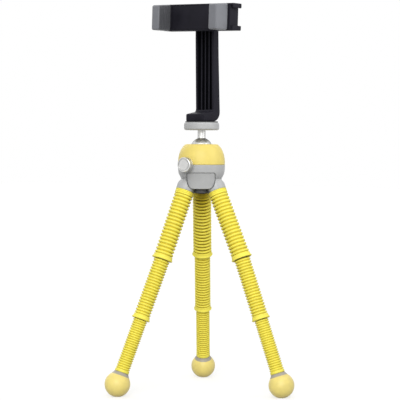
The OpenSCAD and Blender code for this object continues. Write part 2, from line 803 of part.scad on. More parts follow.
// The outline of a run of ribs that starts in a groove at height z
function rib_points(n, z, pitch, count) = [for (i = [0:count - 1]) each [
    [groove_r(n), z + (i + groove_flat_share) * pitch],
    [rib_r[n], z + (i + crest_start_share) * pitch],
    [rib_r[n], z + (i + 1 - crest_start_share) * pitch],
    [groove_r(n), z + (i + 1 - groove_flat_share) * pitch]]];

module sleeve(outline, n, start, end) {
    color("gold") rotate_extrude() polygon(concat([[bore_r(n), start]], outline, [[bore_r(n), end]]));
}

module sleeve_1(leg) {
    at_section(leg, 0) sleeve(concat([[rib_r_1, 0], [rib_r_1, band_h], [groove_r(0), band_h]],
        rib_points(0, band_h, pitch_1, upper_ribs), [[groove_r(0), seam_s]]), 0, 0, seam_s);
}
module sleeve_2(leg) {
    top = section_1 - collar_h;
    at_section(leg, 0) sleeve(concat([[groove_r(0), seam_s]],
        rib_points(0, seam_s, pitch_1, ribs_1 - upper_ribs),
        [[groove_r(0), top], [rib_r_1, top], [rib_r_1 + collar_flare, section_1 - collar_edge],
         [rib_r_1 + collar_flare, section_1]]), 0, seam_s, section_1);
}
module sleeve_3(leg) {
    top = section_2 - collar_h;
    at_section(leg, 1) sleeve(concat([[groove_r(1), sleeve_gap]],
        rib_points(1, sleeve_gap, ribbed_2 / ribs_2, ribs_2),
        [[groove_r(1), top], [rib_r_2, top], [rib_r_2 + collar_flare, section_2 - collar_edge],
         [rib_r_2 + collar_flare, section_2]]), 1, sleeve_gap, section_2);
}
module sleeve_4(leg) {
    top = sleeve_end - band_h;
    at_section(leg, 2) sleeve(concat([[groove_r(2), sleeve_gap]],
        rib_points(2, sleeve_gap, ribbed_3 / ribs_3, ribs_3),
        [[groove_r(2), top], [rib_r_3, top], [rib_r_3, sleeve_end]]), 2, sleeve_gap, sleeve_end);
}

// Leg links: rods with a tongue and a fork, hinged end to end inside the sleeves

// Cuts a rod to a flat tongue around a hinge at the origin; the rod's body lies towards +Z
module tongue_cut(n) {
    reach = 2 * link_r(n);
    for (side = [-1, 1]) translate([-reach, side * (tongue_w(n) + reach) / 2 - reach / 2, -reach])
        cube([2 * reach, reach, reach + knuckle_h(n)]);
}
// Cuts a slot and a pin hole for the next tongue; the rod's body lies towards -Z
module fork_cut(n) {
    reach = 2 * link_r(n);
    slot = tongue_w(n) + 2 * run_gap;
    translate([-reach, -slot / 2, -knuckle_h(n)]) cube([2 * reach, slot, reach + knuckle_h(n)]);
    rotate([90, 0, 0]) rotate([0, 0, seam_turn])
        cylinder(r = pin_share * link_r(n) + run_gap, h = 2 * reach, center = true);
}
module tongue_pin(n) {
    rotate([90, 0, 0])
        cylinder(r = pin_share * link_r(n), h = 2 * pin_reach_share * link_r(n), center = true);
}
// Hinge k of a leg; the odd ones are turned so that the leg also bends sideways
hinge_section = [0, 0, 1, 2];
module at_hinge(leg, k) {
    at_section(leg, hinge_section[k]) translate([0, 0, hinge_s[k]])
        rotate([0, 0, k % 2 == 1 ? 90 : 0]) children();
}

// A rod from start to end, with a rounded nose past each end that carries a hinge
nose_angles = [0, 22.5, 45, 67.5];
function nose(n) = [for (a = nose_angles) link_r(n) * [cos(a), sin(a)]];
module rod(n, start, end, nose_start = false, nose_end = false) {
    low = nose_start ? [for (p = nose(n)) [p[0], start - p[1]]] : [[link_r(n), start]];
    high = nose_end ? [for (p = nose(n)) [p[0], end + p[1]]] : [[link_r(n), end]];
    down = [for (i = [len(low) - 1:-1:0]) low[i]];
    rotate_extrude() polygon(concat([[0, down[0][1]]], down, high, [[0, high[len(high) - 1][1]]]));
}

module root_links() {
    color("dimgray") for (leg = [0:leg_count - 1]) difference() {
        at_section(leg, 0) rod(0, -socket_bore_h, hinge_s[0], nose_end = true);
        at_hinge(leg, 0) fork_cut(0);
    }
}
module link_1(leg) {
    color("dimgray") {
        difference() {
            at_section(leg, 0) rod(0, hinge_s[0], hinge_s[1], nose_start = true, nose_end = true);
            at_hinge(leg, 0) tongue_cut(0);
            at_hinge(leg, 1) fork_cut(0);
        }
        at_hinge(leg, 0) tongue_pin(0);
    }
}
module link_2(leg) {
    color("dimgray") {
        difference() {
            union() {
                at_section(leg, 0) rod(0, hinge_s[1], section_1 - collar_edge, nose_start = true);
                at_section(leg, 1) rod(1, -collar_h / 2, hinge_s[2], nose_end = true);
            }
            at_hinge(leg, 1) tongue_cut(0);
            at_hinge(leg, 2) fork_cut(1);
        }
        at_hinge(leg, 1) tongue_pin(0);
    }
}
module link_3(leg) {
    color("dimgray") {
        difference() {
            union() {
                at_section(leg, 1) rod(1, hinge_s[2], section_2 - collar_edge, nose_start = true);
                at_section(leg, 2) rod(2, -collar_h / 2, hinge_s[3], nose_end = true);
            }
            at_hinge(leg, 2) tongue_cut(1);
            at_hinge(leg, 3) fork_cut(2);
        }
        at_hinge(leg, 2) tongue_pin(1);
    }
}
module link_4(leg) {
    color("dimgray") {
        difference() {
            at_section(leg, 2) rod(2, hinge_s[3], foot_stud_s, nose_start = true);
            at_hinge(leg, 3) tongue_cut(2);
        }
        at_hinge(leg, 3) tongue_pin(2);
    }
}

module foot_collar(leg) {
    // Fine steps, because the cone is thin where the ball cuts it
    $fn = 144;
    color("gray") at_section(leg, 2) difference() {
        // The cone runs on into the ball, which cuts it to shape
        translate([0, 0, sleeve_end]) rotate([0, 0, seam_turn]) cylinder(r1 = foot_collar_top_r,
            r2 = foot_collar_top_r + foot_collar_run * (foot_collar_r - foot_collar_top_r),
            h = foot_collar_run * foot_collar_h);
        translate([0, 0, sleeve_end - overrun]) cylinder(r = link_r(2) + seat_gap, h = foot_r);
        translate([0, 0, section_3]) sphere(r = foot_r);
    }
}
module foot(leg) {
    color("gold") difference() {
        at_section(leg, 3) sphere(r = foot_r);
        at_section(leg, 2) cylinder(r = link_r(2) + seat_gap, h = foot_stud_s);
        at_section(leg, 3) rotate([0, tilt(leg, 3) - 180, 0]) translate([-foot_r, -foot_r, -foot_z - foot_r])
            cube([2 * foot_r, 2 * foot_r, foot_r]);
    }
}

hub_shell();
hub_panels();
leg_sockets();
base_plate();
base_screw();
shell_screws();
root_links();
head_cap();
ball_cup();
cup_spring();
lock_nut();
lock_shoe();
lock_screw();
lock_knob();
ball_stud();
camera_plate();
plate_pad();
camera_screw();
phone_arm();
arm_insert();
pivot_bolt();
pivot_washer();
clamp_body();
clamp_cover();
cover_screws();
fixed_jaw_pad();
sliding_jaw();
sliding_jaw_pad();
guide_rods();
clamp_springs();
sleeve_1(right_index);  // right_sleeve_1
sleeve_2(right_index);  // right_sleeve_2
sleeve_3(right_index);  // right_sleeve_3
sleeve_4(right_index);  // right_sleeve_4
link_1(right_index);  // right_link_1
link_2(right_index);  // right_link_2
link_3(right_index);  // right_link_3
link_4(right_index);  // right_link_4
foot_collar(right_index);  // right_foot_collar
foot(right_index);  // right_foot
sleeve_1(back_index);  // back_sleeve_1
sleeve_2(back_index);  // back_sleeve_2
sleeve_3(back_index);  // back_sleeve_3
sleeve_4(back_index);  // back_sleeve_4
link_1(back_index);  // back_link_1
link_2(back_index);  // back_link_2
link_3(back_index);  // back_link_3
link_4(back_index);  // back_link_4
foot_collar(back_index);  // back_foot_collar
foot(back_index);  // back_foot
sleeve_1(left_index);  // left_sleeve_1
sleeve_2(left_index);  // left_sleeve_2
sleeve_3(left_index);  // left_sleeve_3
sleeve_4(left_index);  // left_sleeve_4
link_1(left_index);  // left_link_1
link_2(left_index);  // left_link_2
link_3(left_index);  // left_link_3
link_4(left_index);  // left_link_4
foot_collar(left_index);  // left_foot_collar
foot(left_index);  // left_foot
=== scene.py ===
# %% [markdown]
# # A small tripod with bendable legs and a phone clamp
#
# The real object is a toy-sized stand: three rubber legs that keep whatever bend they are given, a ball head
# that a knob locks, and a plastic arm with a sprung clamp for a phone.
#
# The engineering model already knows every size and every hinge, so this lesson starts from it. Each visible
# part is then remade with softer edges and finer detail, in the same place, and tied to the same moving body;
# the sleeves and their cores are taken off theirs again.

# %% Load the engineering model
import json
import math

import bpy
from mathutils import Matrix, Vector


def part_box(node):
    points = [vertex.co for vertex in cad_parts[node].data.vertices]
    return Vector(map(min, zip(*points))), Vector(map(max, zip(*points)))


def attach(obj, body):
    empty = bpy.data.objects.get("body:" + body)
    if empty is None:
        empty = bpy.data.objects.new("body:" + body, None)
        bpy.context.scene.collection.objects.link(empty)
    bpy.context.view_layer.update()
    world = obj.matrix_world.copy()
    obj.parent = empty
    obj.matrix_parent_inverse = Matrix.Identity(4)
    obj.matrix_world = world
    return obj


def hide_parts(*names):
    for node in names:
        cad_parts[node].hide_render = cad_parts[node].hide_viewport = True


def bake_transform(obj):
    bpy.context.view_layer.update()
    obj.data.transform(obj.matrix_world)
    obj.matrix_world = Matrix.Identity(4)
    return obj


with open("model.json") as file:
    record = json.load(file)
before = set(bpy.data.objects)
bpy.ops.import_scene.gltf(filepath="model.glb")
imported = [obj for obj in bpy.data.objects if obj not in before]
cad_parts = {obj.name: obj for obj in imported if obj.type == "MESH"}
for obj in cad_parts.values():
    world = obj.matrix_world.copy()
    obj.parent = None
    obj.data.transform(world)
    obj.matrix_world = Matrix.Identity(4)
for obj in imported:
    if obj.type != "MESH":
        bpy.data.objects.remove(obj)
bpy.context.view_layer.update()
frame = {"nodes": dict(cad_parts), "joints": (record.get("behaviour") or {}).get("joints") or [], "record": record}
nodes = frame["nodes"]
joints = {joint["name"]: joint for joint in frame["joints"]}
SLOT_OF = {part["node"]: part["material_slot"] for part in frame["record"]["subparts"]}

# %% [markdown]
# ## Millimetres and local places
#
# Small plastic parts are drawn in millimetres, while Blender counts in metres, so one factor is kept for it.
# Every piece is drawn upright at the origin and then moved to its place. A place is a matrix whose Z runs
# along the piece, and its values come from the model's own hinges, so nothing is fitted by eye.

# %% Places
MM = 0.001
LEGS = ("right", "back", "left")
UP, RIGHT, BACK, FRONT = Vector((0, 0, 1)), Vector((1, 0, 0)), Vector((0, 1, 0)), Vector((0, -1, 0))


def mm(x, y, z):
    """A point given in millimetres."""
    return Vector((x, y, z)) * MM


def hinge_point(name):
    return Vector(joints[name]["pos_m"])


def hinge_axis(name):
    return Vector(joints[name]["axis"]).normalized()


def place_at(origin, along, across):
    """A place whose Z runs along one direction and whose X lies nearest to another."""
    z = along.normalized()
    x = (across - across.dot(z) * z).normalized()
    turn = Matrix((x, z.cross(x), z)).transposed()
    return Matrix.Translation(origin) @ turn.to_4x4()


SPLIT_H = 23.5
ball_centre = hinge_point("ball_pan")
root = hinge_point("lock_turn") - UP * SPLIT_H * MM
knob_place = place_at(hinge_point("lock_turn"), hinge_axis("lock_turn"), UP)
hub_place = place_at(root, UP, hinge_axis("lock_turn"))
print("ball centre at", [round(value / MM, 1) for value in ball_centre], "mm")

# %% [markdown]
# ## Drawing with the edit-mode tools
#
# Most of this object is turned work: sleeves, balls, caps and knobs. The quickest way by hand is to draw half
# of the outline, vertex by vertex, and spin it about the axis. A plane squeezed to a single vertex is the
# pencil. Flat parts are drawn the same way, filled, and pulled out with Extrude.

# %% The pencil


def clear_selection():
    if bpy.context.object and bpy.context.object.mode != "OBJECT":
        bpy.ops.object.mode_set(mode="OBJECT")
    bpy.ops.object.select_all(action="DESELECT")


def new_piece(name):
    """Name the object that an operator has just added."""
    piece = bpy.context.object
    piece.name = piece.data.name = name
    return piece


def draw_line(name, points):
    """Leave edit mode on, with one open line through the points, in mm."""
    clear_selection()
    bpy.ops.mesh.primitive_plane_add(size=MM)
    piece = new_piece(name)
    bpy.ops.object.mode_set(mode="EDIT")
    bpy.ops.mesh.merge(type="CENTER")
    last = mm(*points[0])
    bpy.ops.transform.translate(value=last)
    for point in points[1:]:
        point = mm(*point)
        bpy.ops.mesh.extrude_region_move(TRANSFORM_OT_translate={"value": point - last})
        last = point
    bpy.ops.mesh.select_all(action="SELECT")
    return piece


# %% [markdown]
# Spin leaves two rows of points where it closes and may turn the faces inwards. So the doubles are merged first,
# and then all faces are pointed outwards.

# %% Turned and extruded shapes
WELD = 1e-6
TURN_STEPS = 96


def turn_outwards():
    """Point all faces outwards and leave edit mode."""
    bpy.ops.mesh.select_all(action="SELECT")
    bpy.ops.mesh.normals_make_consistent(inside=False)
    bpy.ops.object.mode_set(mode="OBJECT")


def turned(name, outline, steps=TURN_STEPS):
    """Spin an outline of (radius, height) points about Z."""
    piece = draw_line(name, [(radius, 0, height) for radius, height in outline])
    bpy.ops.mesh.spin(steps=steps, angle=math.tau, center=(0, 0, 0), axis=(0, 0, 1))
    bpy.ops.mesh.select_all(action="SELECT")
    bpy.ops.mesh.remove_doubles(threshold=WELD)
    turn_outwards()
    return piece


def extruded(name, outline, depth):
    """Fill a closed outline of (x, y) points and pull it up by a depth."""
    piece = draw_line(name, [(x, y, 0) for x, y in outline])
    bpy.ops.mesh.edge_face_add()
    bpy.ops.mesh.extrude_region_move(TRANSFORM_OT_translate={"value": (0, 0, depth * MM)})
    turn_outwards()
    return piece


def block(name, low, high):
    """A box between two corners, in mm."""
    clear_selection()
    size = Vector(high) - Vector(low)
    bpy.ops.mesh.primitive_cube_add(size=1, location=(Vector(low) + size / 2) * MM, scale=size * MM)
    bpy.ops.object.transform_apply(location=True, rotation=True, scale=True)
    return new_piece(name)


def arc(centre, radius, start, end, steps=6):
    """Points of an arc between two angles in degrees."""
    angles = [math.radians(start + (end - start) * i / steps) for i in range(steps + 1)]
    return [(centre[0] + radius * math.cos(a), centre[1] + radius * math.sin(a)) for a in angles]


def bow(start, lean, end, steps=10):
    """Points of a curve that leans towards a third point."""
    shares = [i / steps for i in range(steps + 1)]
    return [tuple((1 - t) ** 2 * start[k] + 2 * t * (1 - t) * lean[k] + t * t * end[k] for k in (0, 1))
            for t in shares]


# %% [markdown]
# ## Finishing a shape
#
# Moulded parts never have knife edges. A Bevel modifier that only takes the sharp angles rounds them all at
# once, and Boolean modifiers cut one drawn shape with another. Both are applied, so that the finished piece is
# a plain mesh with its place in its own vertices.

# %% Modifiers
SLIVER = 0.01


def pick(piece):
    clear_selection()
    piece.select_set(True)
    bpy.context.view_layer.objects.active = piece


def open_mesh(piece, select="SELECT"):
    """Turn edit mode on, with all or nothing selected."""
    pick(piece)
    bpy.ops.object.mode_set(mode="EDIT")
    bpy.ops.mesh.select_all(action=select)


def apply_modifier(piece, kind, **settings):
    pick(piece)
    modifier = piece.modifiers.new(kind.title(), kind)
    for key, value in settings.items():
        setattr(modifier, key, value)
    bpy.ops.object.modifier_apply(modifier=modifier.name)


def combine(piece, tool, operation):
    """Cut or join a piece with a tool, which is used up."""
    apply_modifier(piece, "BOOLEAN", object=tool, operation=operation, solver="EXACT")
    bpy.data.objects.remove(tool)
    return piece


def cut(piece, tool):
    return combine(piece, tool, "DIFFERENCE")


def merge_slivers(piece, distance=SLIVER):
    """Join points that a Boolean has left almost on top of each other, so that the next one finds no gaps."""
    open_mesh(piece)
    bpy.ops.mesh.remove_doubles(threshold=distance * MM)
    bpy.ops.mesh.dissolve_degenerate(threshold=distance * MM)
    bpy.ops.object.mode_set(mode="OBJECT")
    return piece


def soften(piece, width, segments=2, angle=38):
    """Round every edge that is sharper than an angle, by a width in mm."""
    apply_modifier(piece, "BEVEL", width=width * MM, segments=segments, limit_method="ANGLE",
                   angle_limit=math.radians(angle), use_clamp_overlap=False, miter_outer="MITER_ARC")
    return piece


# %% [markdown]
# A finished piece is settled: its place goes into its mesh, and only its gentle edges are shaded smooth. What
# repeats is drawn once and copied. Last, the piece gets a material, a body to ride on, and the part of the
# engineering model that it stands for.

# %% Settling
SMOOTH_ANGLE = math.radians(38)


def settle(piece, place=None):
    """Move a drawn piece to its place, keep the place in its mesh, and shade it smooth."""
    pick(piece)
    if place is not None:
        piece.matrix_world = place @ piece.matrix_world
    bpy.ops.object.transform_apply(location=True, rotation=True, scale=True)
    bpy.ops.object.shade_smooth_by_angle(angle=SMOOTH_ANGLE)
    return piece


def copy_of(piece, name):
    """A copy with a mesh of its own."""
    pick(piece)
    bpy.ops.object.duplicate()
    return new_piece(name)


def finish(piece, body, finish_name, *replaced):
    """Give a settled piece its material, its body and the parts that it stands for."""
    piece.data.materials.clear()
    piece.data.materials.append(MATERIALS[finish_name])
    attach(piece, body)
    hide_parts(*replaced)
    print(f"{piece.name} has {len(piece.data.polygons)} faces and rides on {body}")
    return piece


# %% [markdown]
# ## Finishes
#
# All the plastics share one recipe: a base colour that drifts a little from place to place, a roughness that
# drifts with it, and a very fine grain in the bump. What changes is the scale and the strength. The noise reads
# Object coordinates, which are metres here, so a scale of 4000 gives grain of about a quarter of a millimetre.

# %% Small tools for nodes


def start_material(name):
    material = bpy.data.materials.new(name)
    material.use_nodes = True
    tree = material.node_tree
    return material, tree, tree.nodes["Principled BSDF"]


def set_sockets(node, **values):
    """Set a node's sockets by their names, with _ for each space."""
    for socket, value in values.items():
        node.inputs[socket.replace("_", " ")].default_value = value


def add_node(tree, kind, **values):
    node = tree.nodes.new("ShaderNode" + kind)
    set_sockets(node, **values)
    return node


def object_noise(tree, scale, detail=3):
    noise = add_node(tree, "TexNoise", Scale=scale, Detail=detail)
    tree.links.new(add_node(tree, "TexCoord").outputs["Object"], noise.inputs["Vector"])
    return noise.outputs["Fac"]


# %% [markdown]
# A noise does nothing until it reaches a socket. It spends most of its time near its middle, so only that part is
# stretched: over a range of numbers, or over two shades of a colour. A bump turns it into relief.

# %% From a noise to a socket
NOISE_RANGE = (0.3, 0.7)


def drift(tree, source, low, high, target):
    """Send a noise to a socket as a range of numbers."""
    spread = add_node(tree, "MapRange", From_Min=NOISE_RANGE[0], From_Max=NOISE_RANGE[1], To_Min=low, To_Max=high)
    tree.links.new(source, spread.inputs["Value"])
    tree.links.new(spread.outputs["Result"], target)


def colour_ramp(tree, source, stops, target):
    """Send a value to a socket as a colour, through stops of (value, colour)."""
    ramp = add_node(tree, "ValToRGB")
    elements = ramp.color_ramp.elements
    while len(elements) < len(stops):
        elements.new(0.5)
    for element, (position, colour) in zip(elements, stops):
        element.position = position
        element.color = (*colour, 1)
    tree.links.new(source, ramp.inputs["Fac"])
    tree.links.new(ramp.outputs["Color"], target)


def bump(tree, height, depth, shader, strength):
    """Raise a surface by a depth in metres where a value is high."""
    relief = add_node(tree, "Bump", Strength=strength, Distance=depth)
    tree.links.new(height, relief.inputs["Height"])
    tree.links.new(relief.outputs["Normal"], shader.inputs["Normal"])


def two_tone(tree, source, colour, low, high, target):
    """Send a noise to a socket as two shades of a colour."""
    shades = [tuple(min(1.0, channel * factor) for channel in colour) for factor in (low, high)]
    colour_ramp(tree, source, list(zip(NOISE_RANGE, shades)), target)


# %% [markdown]
# With these tools a moulded surface takes a few lines. Some pieces also carry a value on their vertices, which
# marks where shade is painted into the colour, such as deep under the head or on a jaw's gripping face, and a Mix
# node reads it.

# %% A moulded surface
ROUGHNESS_DRIFT = 0.06


def moulded(name, colour, roughness, grain=4000, grain_depth=0.00002, patch=90, drift_share=0.05,
            specular=0.5, sheen=0.0):
    """Plastic or rubber: patchy colour and roughness over a fine moulded grain."""
    material, tree, shader = start_material(name)
    patches = object_noise(tree, patch)
    two_tone(tree, patches, colour, 1 - drift_share, 1 + drift_share, shader.inputs["Base Color"])
    drift(tree, patches, roughness - ROUGHNESS_DRIFT, roughness + ROUGHNESS_DRIFT, shader.inputs["Roughness"])
    bump(tree, object_noise(tree, grain, 2), grain_depth, shader, 0.5)
    set_sockets(shader, Specular_IOR_Level=specular, Sheen_Weight=sheen, Sheen_Roughness=0.5)
    return material


def vertex_value(tree, value_name):
    value = add_node(tree, "Attribute")
    value.attribute_name = value_name
    return value.outputs["Fac"]


def mix_colours(tree, blend_type="MIX"):
    """A Mix node for colours. Its type is set first, because that decides which sockets it shows."""
    mix = add_node(tree, "Mix")
    mix.data_type, mix.blend_type = "RGBA", blend_type
    return mix


def paint_in_shade(material, value_name, colour):
    """Mix a painted shade colour in where a value on the vertices says so."""
    tree = material.node_tree
    base = tree.nodes["Principled BSDF"].inputs["Base Color"]
    mix = mix_colours(tree)
    set_sockets(mix, B=(*colour, 1))
    tree.links.new(vertex_value(tree, value_name), mix.inputs["Factor"])
    tree.links.new(base.links[0].from_socket, mix.inputs["A"])
    tree.links.new(mix.outputs["Result"], base)
    return material


def set_value(piece, value_name, value_at):
    """Store a number from 0 to 1 on each vertex, found from its place."""
    stored = piece.data.attributes.new(value_name, "FLOAT", "POINT")
    for item, vertex in zip(stored.data, piece.data.vertices):
        item.value = min(1.0, max(0.0, value_at(vertex.co)))
    return piece


# %% [markdown]
# The ribbed rubber needs one thing more: painted shade. Deep between the ribs little light arrives, so the
# grooves are painted olive. Each sleeve carries a value on its vertices that says how much shade is painted at a
# point, from how deep it lies, which way it faces and how close it is to the head, and a ramp turns that value
# into the colour.

# %% Ribbed rubber
RIB_SHADE_MARK = "painted_rib_shade"
WHITE = (1, 1, 1)


def ribbed_rubber(name, stops):
    """Rubber whose colour follows the painted shade value on its vertices, through stops of (value, colour)."""
    material, tree, shader = start_material(name)
    patches = object_noise(tree, 120)
    tint = mix_colours(tree, "MULTIPLY")
    set_sockets(tint, Factor=1.0)
    colour_ramp(tree, vertex_value(tree, RIB_SHADE_MARK), stops, tint.inputs["A"])
    two_tone(tree, patches, WHITE, 0.94, 1.0, tint.inputs["B"])
    tree.links.new(tint.outputs["Result"], shader.inputs["Base Color"])
    drift(tree, patches, 0.42, 0.56, shader.inputs["Roughness"])
    bump(tree, object_noise(tree, 3500, 2), 0.00002, shader, 0.6)
    set_sockets(shader, Specular_IOR_Level=0.25, Sheen_Weight=0.05)
    return material


# %% [markdown]
# Metals are told apart by what the tool left behind. The ball is polished, with only faint hairlines. The knob
# was faced on a lathe, so it carries fine rings about its own axis, and a Mapping node lays the rings around
# that axis. Screws are zinc plated and a little blotchy.

# %% Metals
RING_PITCH = 0.00035


def bare_metal(name, colour, noise, shades, roughness, rim=1.0):
    """Metal whose colour and roughness follow a noise of (scale, detail)."""
    material, tree, shader = start_material(name)
    patches = object_noise(tree, *noise)
    set_sockets(shader, Metallic=1.0, Specular_Tint=(rim, rim, rim, 1))
    two_tone(tree, patches, colour, *shades, shader.inputs["Base Color"])
    drift(tree, patches, *roughness, shader.inputs["Roughness"])
    return material, tree, shader, patches


def polished_metal(name, colour):
    material, tree, shader, hairlines = bare_metal(name, colour, (700, 6), (0.96, 1.03), (0.36, 0.44), 0.1)
    bump(tree, hairlines, 0.000004, shader, 0.3)
    return material


def plated_metal(name, colour, roughness):
    material, tree, shader, blotches = bare_metal(name, colour, (500, 4), (0.85, 1.08),
                                                  (roughness - 0.08, roughness + 0.1))
    bump(tree, blotches, 0.00001, shader, 0.3)
    return material


def lathe_metal(name, colour, place):
    material, tree, shader, _ = bare_metal(name, colour, (300, 3), (0.94, 1.04), (0.28, 0.4), 0.3)
    back = place.inverted()
    mapping = add_node(tree, "Mapping", Location=back.translation, Rotation=back.to_euler())
    rings = add_node(tree, "TexWave", Scale=math.tau / RING_PITCH / 20, Distortion=0.4)
    rings.wave_type, rings.rings_direction = "RINGS", "Z"
    tree.links.new(add_node(tree, "TexCoord").outputs["Object"], mapping.inputs["Vector"])
    tree.links.new(mapping.outputs["Vector"], rings.inputs["Vector"])
    bump(tree, rings.outputs["Fac"], 0.00001, shader, 0.4)
    return material


# %% [markdown]
# The real stand has few colours: a lemon yellow on the sleeves, a paler and warmer yellow on the cap and the
# feet, one mid grey, one black and bare steel. Colours could be typed into each material, but a palette keeps
# them together, where they are easy to weigh against each other. Three values that the pieces carry on their
# vertices paint shade into the colour deep under the head, in the arm's hollow and on the jaws' gripping faces.

# %% The palette
# Names of the values on the vertices that mark where shade is painted.
SHADE_VALUE, GRIP_SHADE_MARK, HOLLOW_SHADE_MARK = "under_the_hub", "painted_grip_shade", "painted_hollow_shade"
YELLOW_RUBBER = (0.99, 0.88, 0.115)
# The olives are shade painted into the grooves of the rubber, darkest under the head.
OLIVE_GROOVE_SHADE = (0.74, 0.60, 0.03)
OLIVE_DEEP_SHADE = (0.38, 0.27, 0.0)
SHADED_OLIVE = (0.10, 0.075, 0.0)
RIB_SHADE_STOPS = ((0.0, YELLOW_RUBBER), (0.45, OLIVE_GROOVE_SHADE), (0.75, OLIVE_DEEP_SHADE), (1.0, SHADED_OLIVE))
CAP_YELLOW = (0.85, 0.685, 0.18)
FOOT_YELLOW = (0.90, 0.74, 0.22)
HUB_GREY, SHADED_GREY = (0.465, 0.47, 0.47), (0.03, 0.028, 0.02)
COLLAR_GREY = (0.40, 0.37, 0.31)
# The hollow black is shade painted into the arm's hollow.
BLACK, HOLLOW_SHADE_BLACK = (0.0168, 0.016, 0.0222), (0.001, 0.001, 0.002)
# The grip grey is shade painted onto the jaws' gripping faces.
JAW_GREY, GRIP_SHADE_GREY = (0.18, 0.185, 0.205), (0.085, 0.087, 0.097)
MATERIALS = {
    "yellow_rubber": ribbed_rubber("yellow_rubber", RIB_SHADE_STOPS),
    "foot_rubber": moulded("foot_rubber", FOOT_YELLOW, 0.42, patch=200, sheen=0.1),
    "yellow_plastic": moulded("yellow_plastic", CAP_YELLOW, 0.4, patch=150, drift_share=0.03, specular=0.3),
    # Grey plastic, black plastic and grey rubber take a painted shade colour where their vertices say so.
    "grey_plastic": paint_in_shade(moulded("grey_plastic", HUB_GREY, 0.42, patch=160, drift_share=0.04),
                                  SHADE_VALUE, SHADED_GREY),
    "foot_grey": moulded("foot_grey", COLLAR_GREY, 0.5, patch=220),
    "black_plastic": paint_in_shade(moulded("black_plastic", BLACK, 0.5, patch=120, grain_depth=0.00003,
                                           drift_share=0.12, specular=0.07), HOLLOW_SHADE_MARK, HOLLOW_SHADE_BLACK),
    "grey_rubber": paint_in_shade(moulded("grey_rubber", JAW_GREY, 0.55, patch=180, grain_depth=0.00003,
                                         sheen=0.2), GRIP_SHADE_MARK, GRIP_SHADE_GREY),
    "black_rubber": moulded("black_rubber", (0.02, 0.02, 0.021), 0.65, patch=250),
    "core_plastic": moulded("core_plastic", (0.10, 0.10, 0.105), 0.5),
    "white_plastic": moulded("white_plastic", (0.80, 0.80, 0.77), 0.35),
    "polished_steel": polished_metal("polished_steel", (0.68, 0.68, 0.67)),
    "knob_metal": lathe_metal("knob_metal", (0.66, 0.66, 0.65), knob_place),
    "steel": plated_metal("steel", (0.58, 0.58, 0.60), 0.35),
    "brass": plated_metal("brass", (0.72, 0.52, 0.20), 0.32),
}
print(len(MATERIALS), "finishes")

# %% [markdown]
# ## The places along a leg
#
# Each leg has three straight sections. The first hinge pair lies on the first section's axis, so the line
# through them is that axis. From there each section's end gives the start of the next one, and the next hinge
# gives its direction.

# %% Leg places
SECTIONS = section_1, section_2, section_3 = (60.6, 53.7, 57.3)
BAND_H, COLLAR_H = 2.7, 4.0
RIBS, UPPER_RIBS = (18, 20, 22), 8
spacing_1 = (section_1 - BAND_H - COLLAR_H) / RIBS[0]
seam = BAND_H + UPPER_RIBS * spacing_1
first_hinge = seam / 2


def leg_places(leg):
    """The upper ends of a leg's three sections: Z runs down the section and X points inwards."""
    first = hinge_point(f"{leg}_spread")
    along = (hinge_point(f"{leg}_swing") - first).normalized()
    inwards = hinge_axis(f"{leg}_spread").cross(UP)
    start = first - along * first_hinge * MM
    places = [place_at(start, along, inwards)]
    for length, hinge in zip(SECTIONS, ("knee_bend", "ankle_swing")):
        start = start + along * length * MM
        along = (hinge_point(f"{leg}_{hinge}") - start).normalized()
        places.append(place_at(start, along, inwards))
    return places


LEG_PLACES = {leg: leg_places(leg) for leg in LEGS}
for leg in LEGS:
    foot = LEG_PLACES[leg][2] @ mm(0, 0, section_3)
    print(leg, "foot centre at", [round(value / MM, 1) for value in foot], "mm")

# %% [markdown]
# ## Ribbed sleeves
#
# The legs are rubber tubes with round beads, like a bellows. One bead is half an ellipse above a narrow flat
# groove, and a loop repeats it down the outline before the spin. The depth of the grooves follows from the pitch
# of the ribs, and so does the bore inside.

# %% Beads and grooves
RIB_R, RIB_PITCH = (8.1, 7.0, 6.1), (3.0, 2.5, 2.0)
START_GAP = 0.4
FOOT_R, FOOT_COLLAR_R, FOOT_COLLAR_H = 10.75, 7.7, 2.7
BEAD_STEPS, BEAD_HALF_SHARE = 8, 0.36
GROOVE_SHARE, WALL_SHARE, WALL = 0.45, 0.36, 0.5
sleeve_end = section_3 - math.sqrt(FOOT_R ** 2 - FOOT_COLLAR_R ** 2) - FOOT_COLLAR_H
SPACING = (spacing_1, (section_2 - COLLAR_H - START_GAP) / RIBS[1], (sleeve_end - START_GAP - BAND_H) / RIBS[2])


def groove_radius(section):
    return RIB_R[section] - GROOVE_SHARE * RIB_PITCH[section]


def bore_radius(section):
    return RIB_R[section] - WALL_SHARE * RIB_PITCH[section] - WALL


def groove(section, at):
    return [(groove_radius(section), at)]


def beads(section, start, count):
    """The outline of a run of round beads."""
    base, pitch = groove_radius(section), SPACING[section]
    rise = RIB_R[section] - base
    points = []
    for i in range(count):
        middle = start + (i + 0.5) * pitch
        for k in range(BEAD_STEPS + 1):
            turn = math.pi * k / BEAD_STEPS
            points.append((base + rise * math.sin(turn),
                           middle - BEAD_HALF_SHARE * pitch * math.cos(turn)))
    return points


print("beads on each leg:", sum(RIBS))

# %% [markdown]
# The photograph shows three other forms on the sleeves: fine ridges under the socket, a flared collar at the end
# of the first two sections, and a smooth band above the foot. Each is a short run of points as well.

# %% Bands and collars
RIDGES, RIDGE_DEPTH, RIDGE_R = 3, 0.45, 0.5
COLLAR_FLARE, COLLAR_HOLLOW = 0.8, 0.7


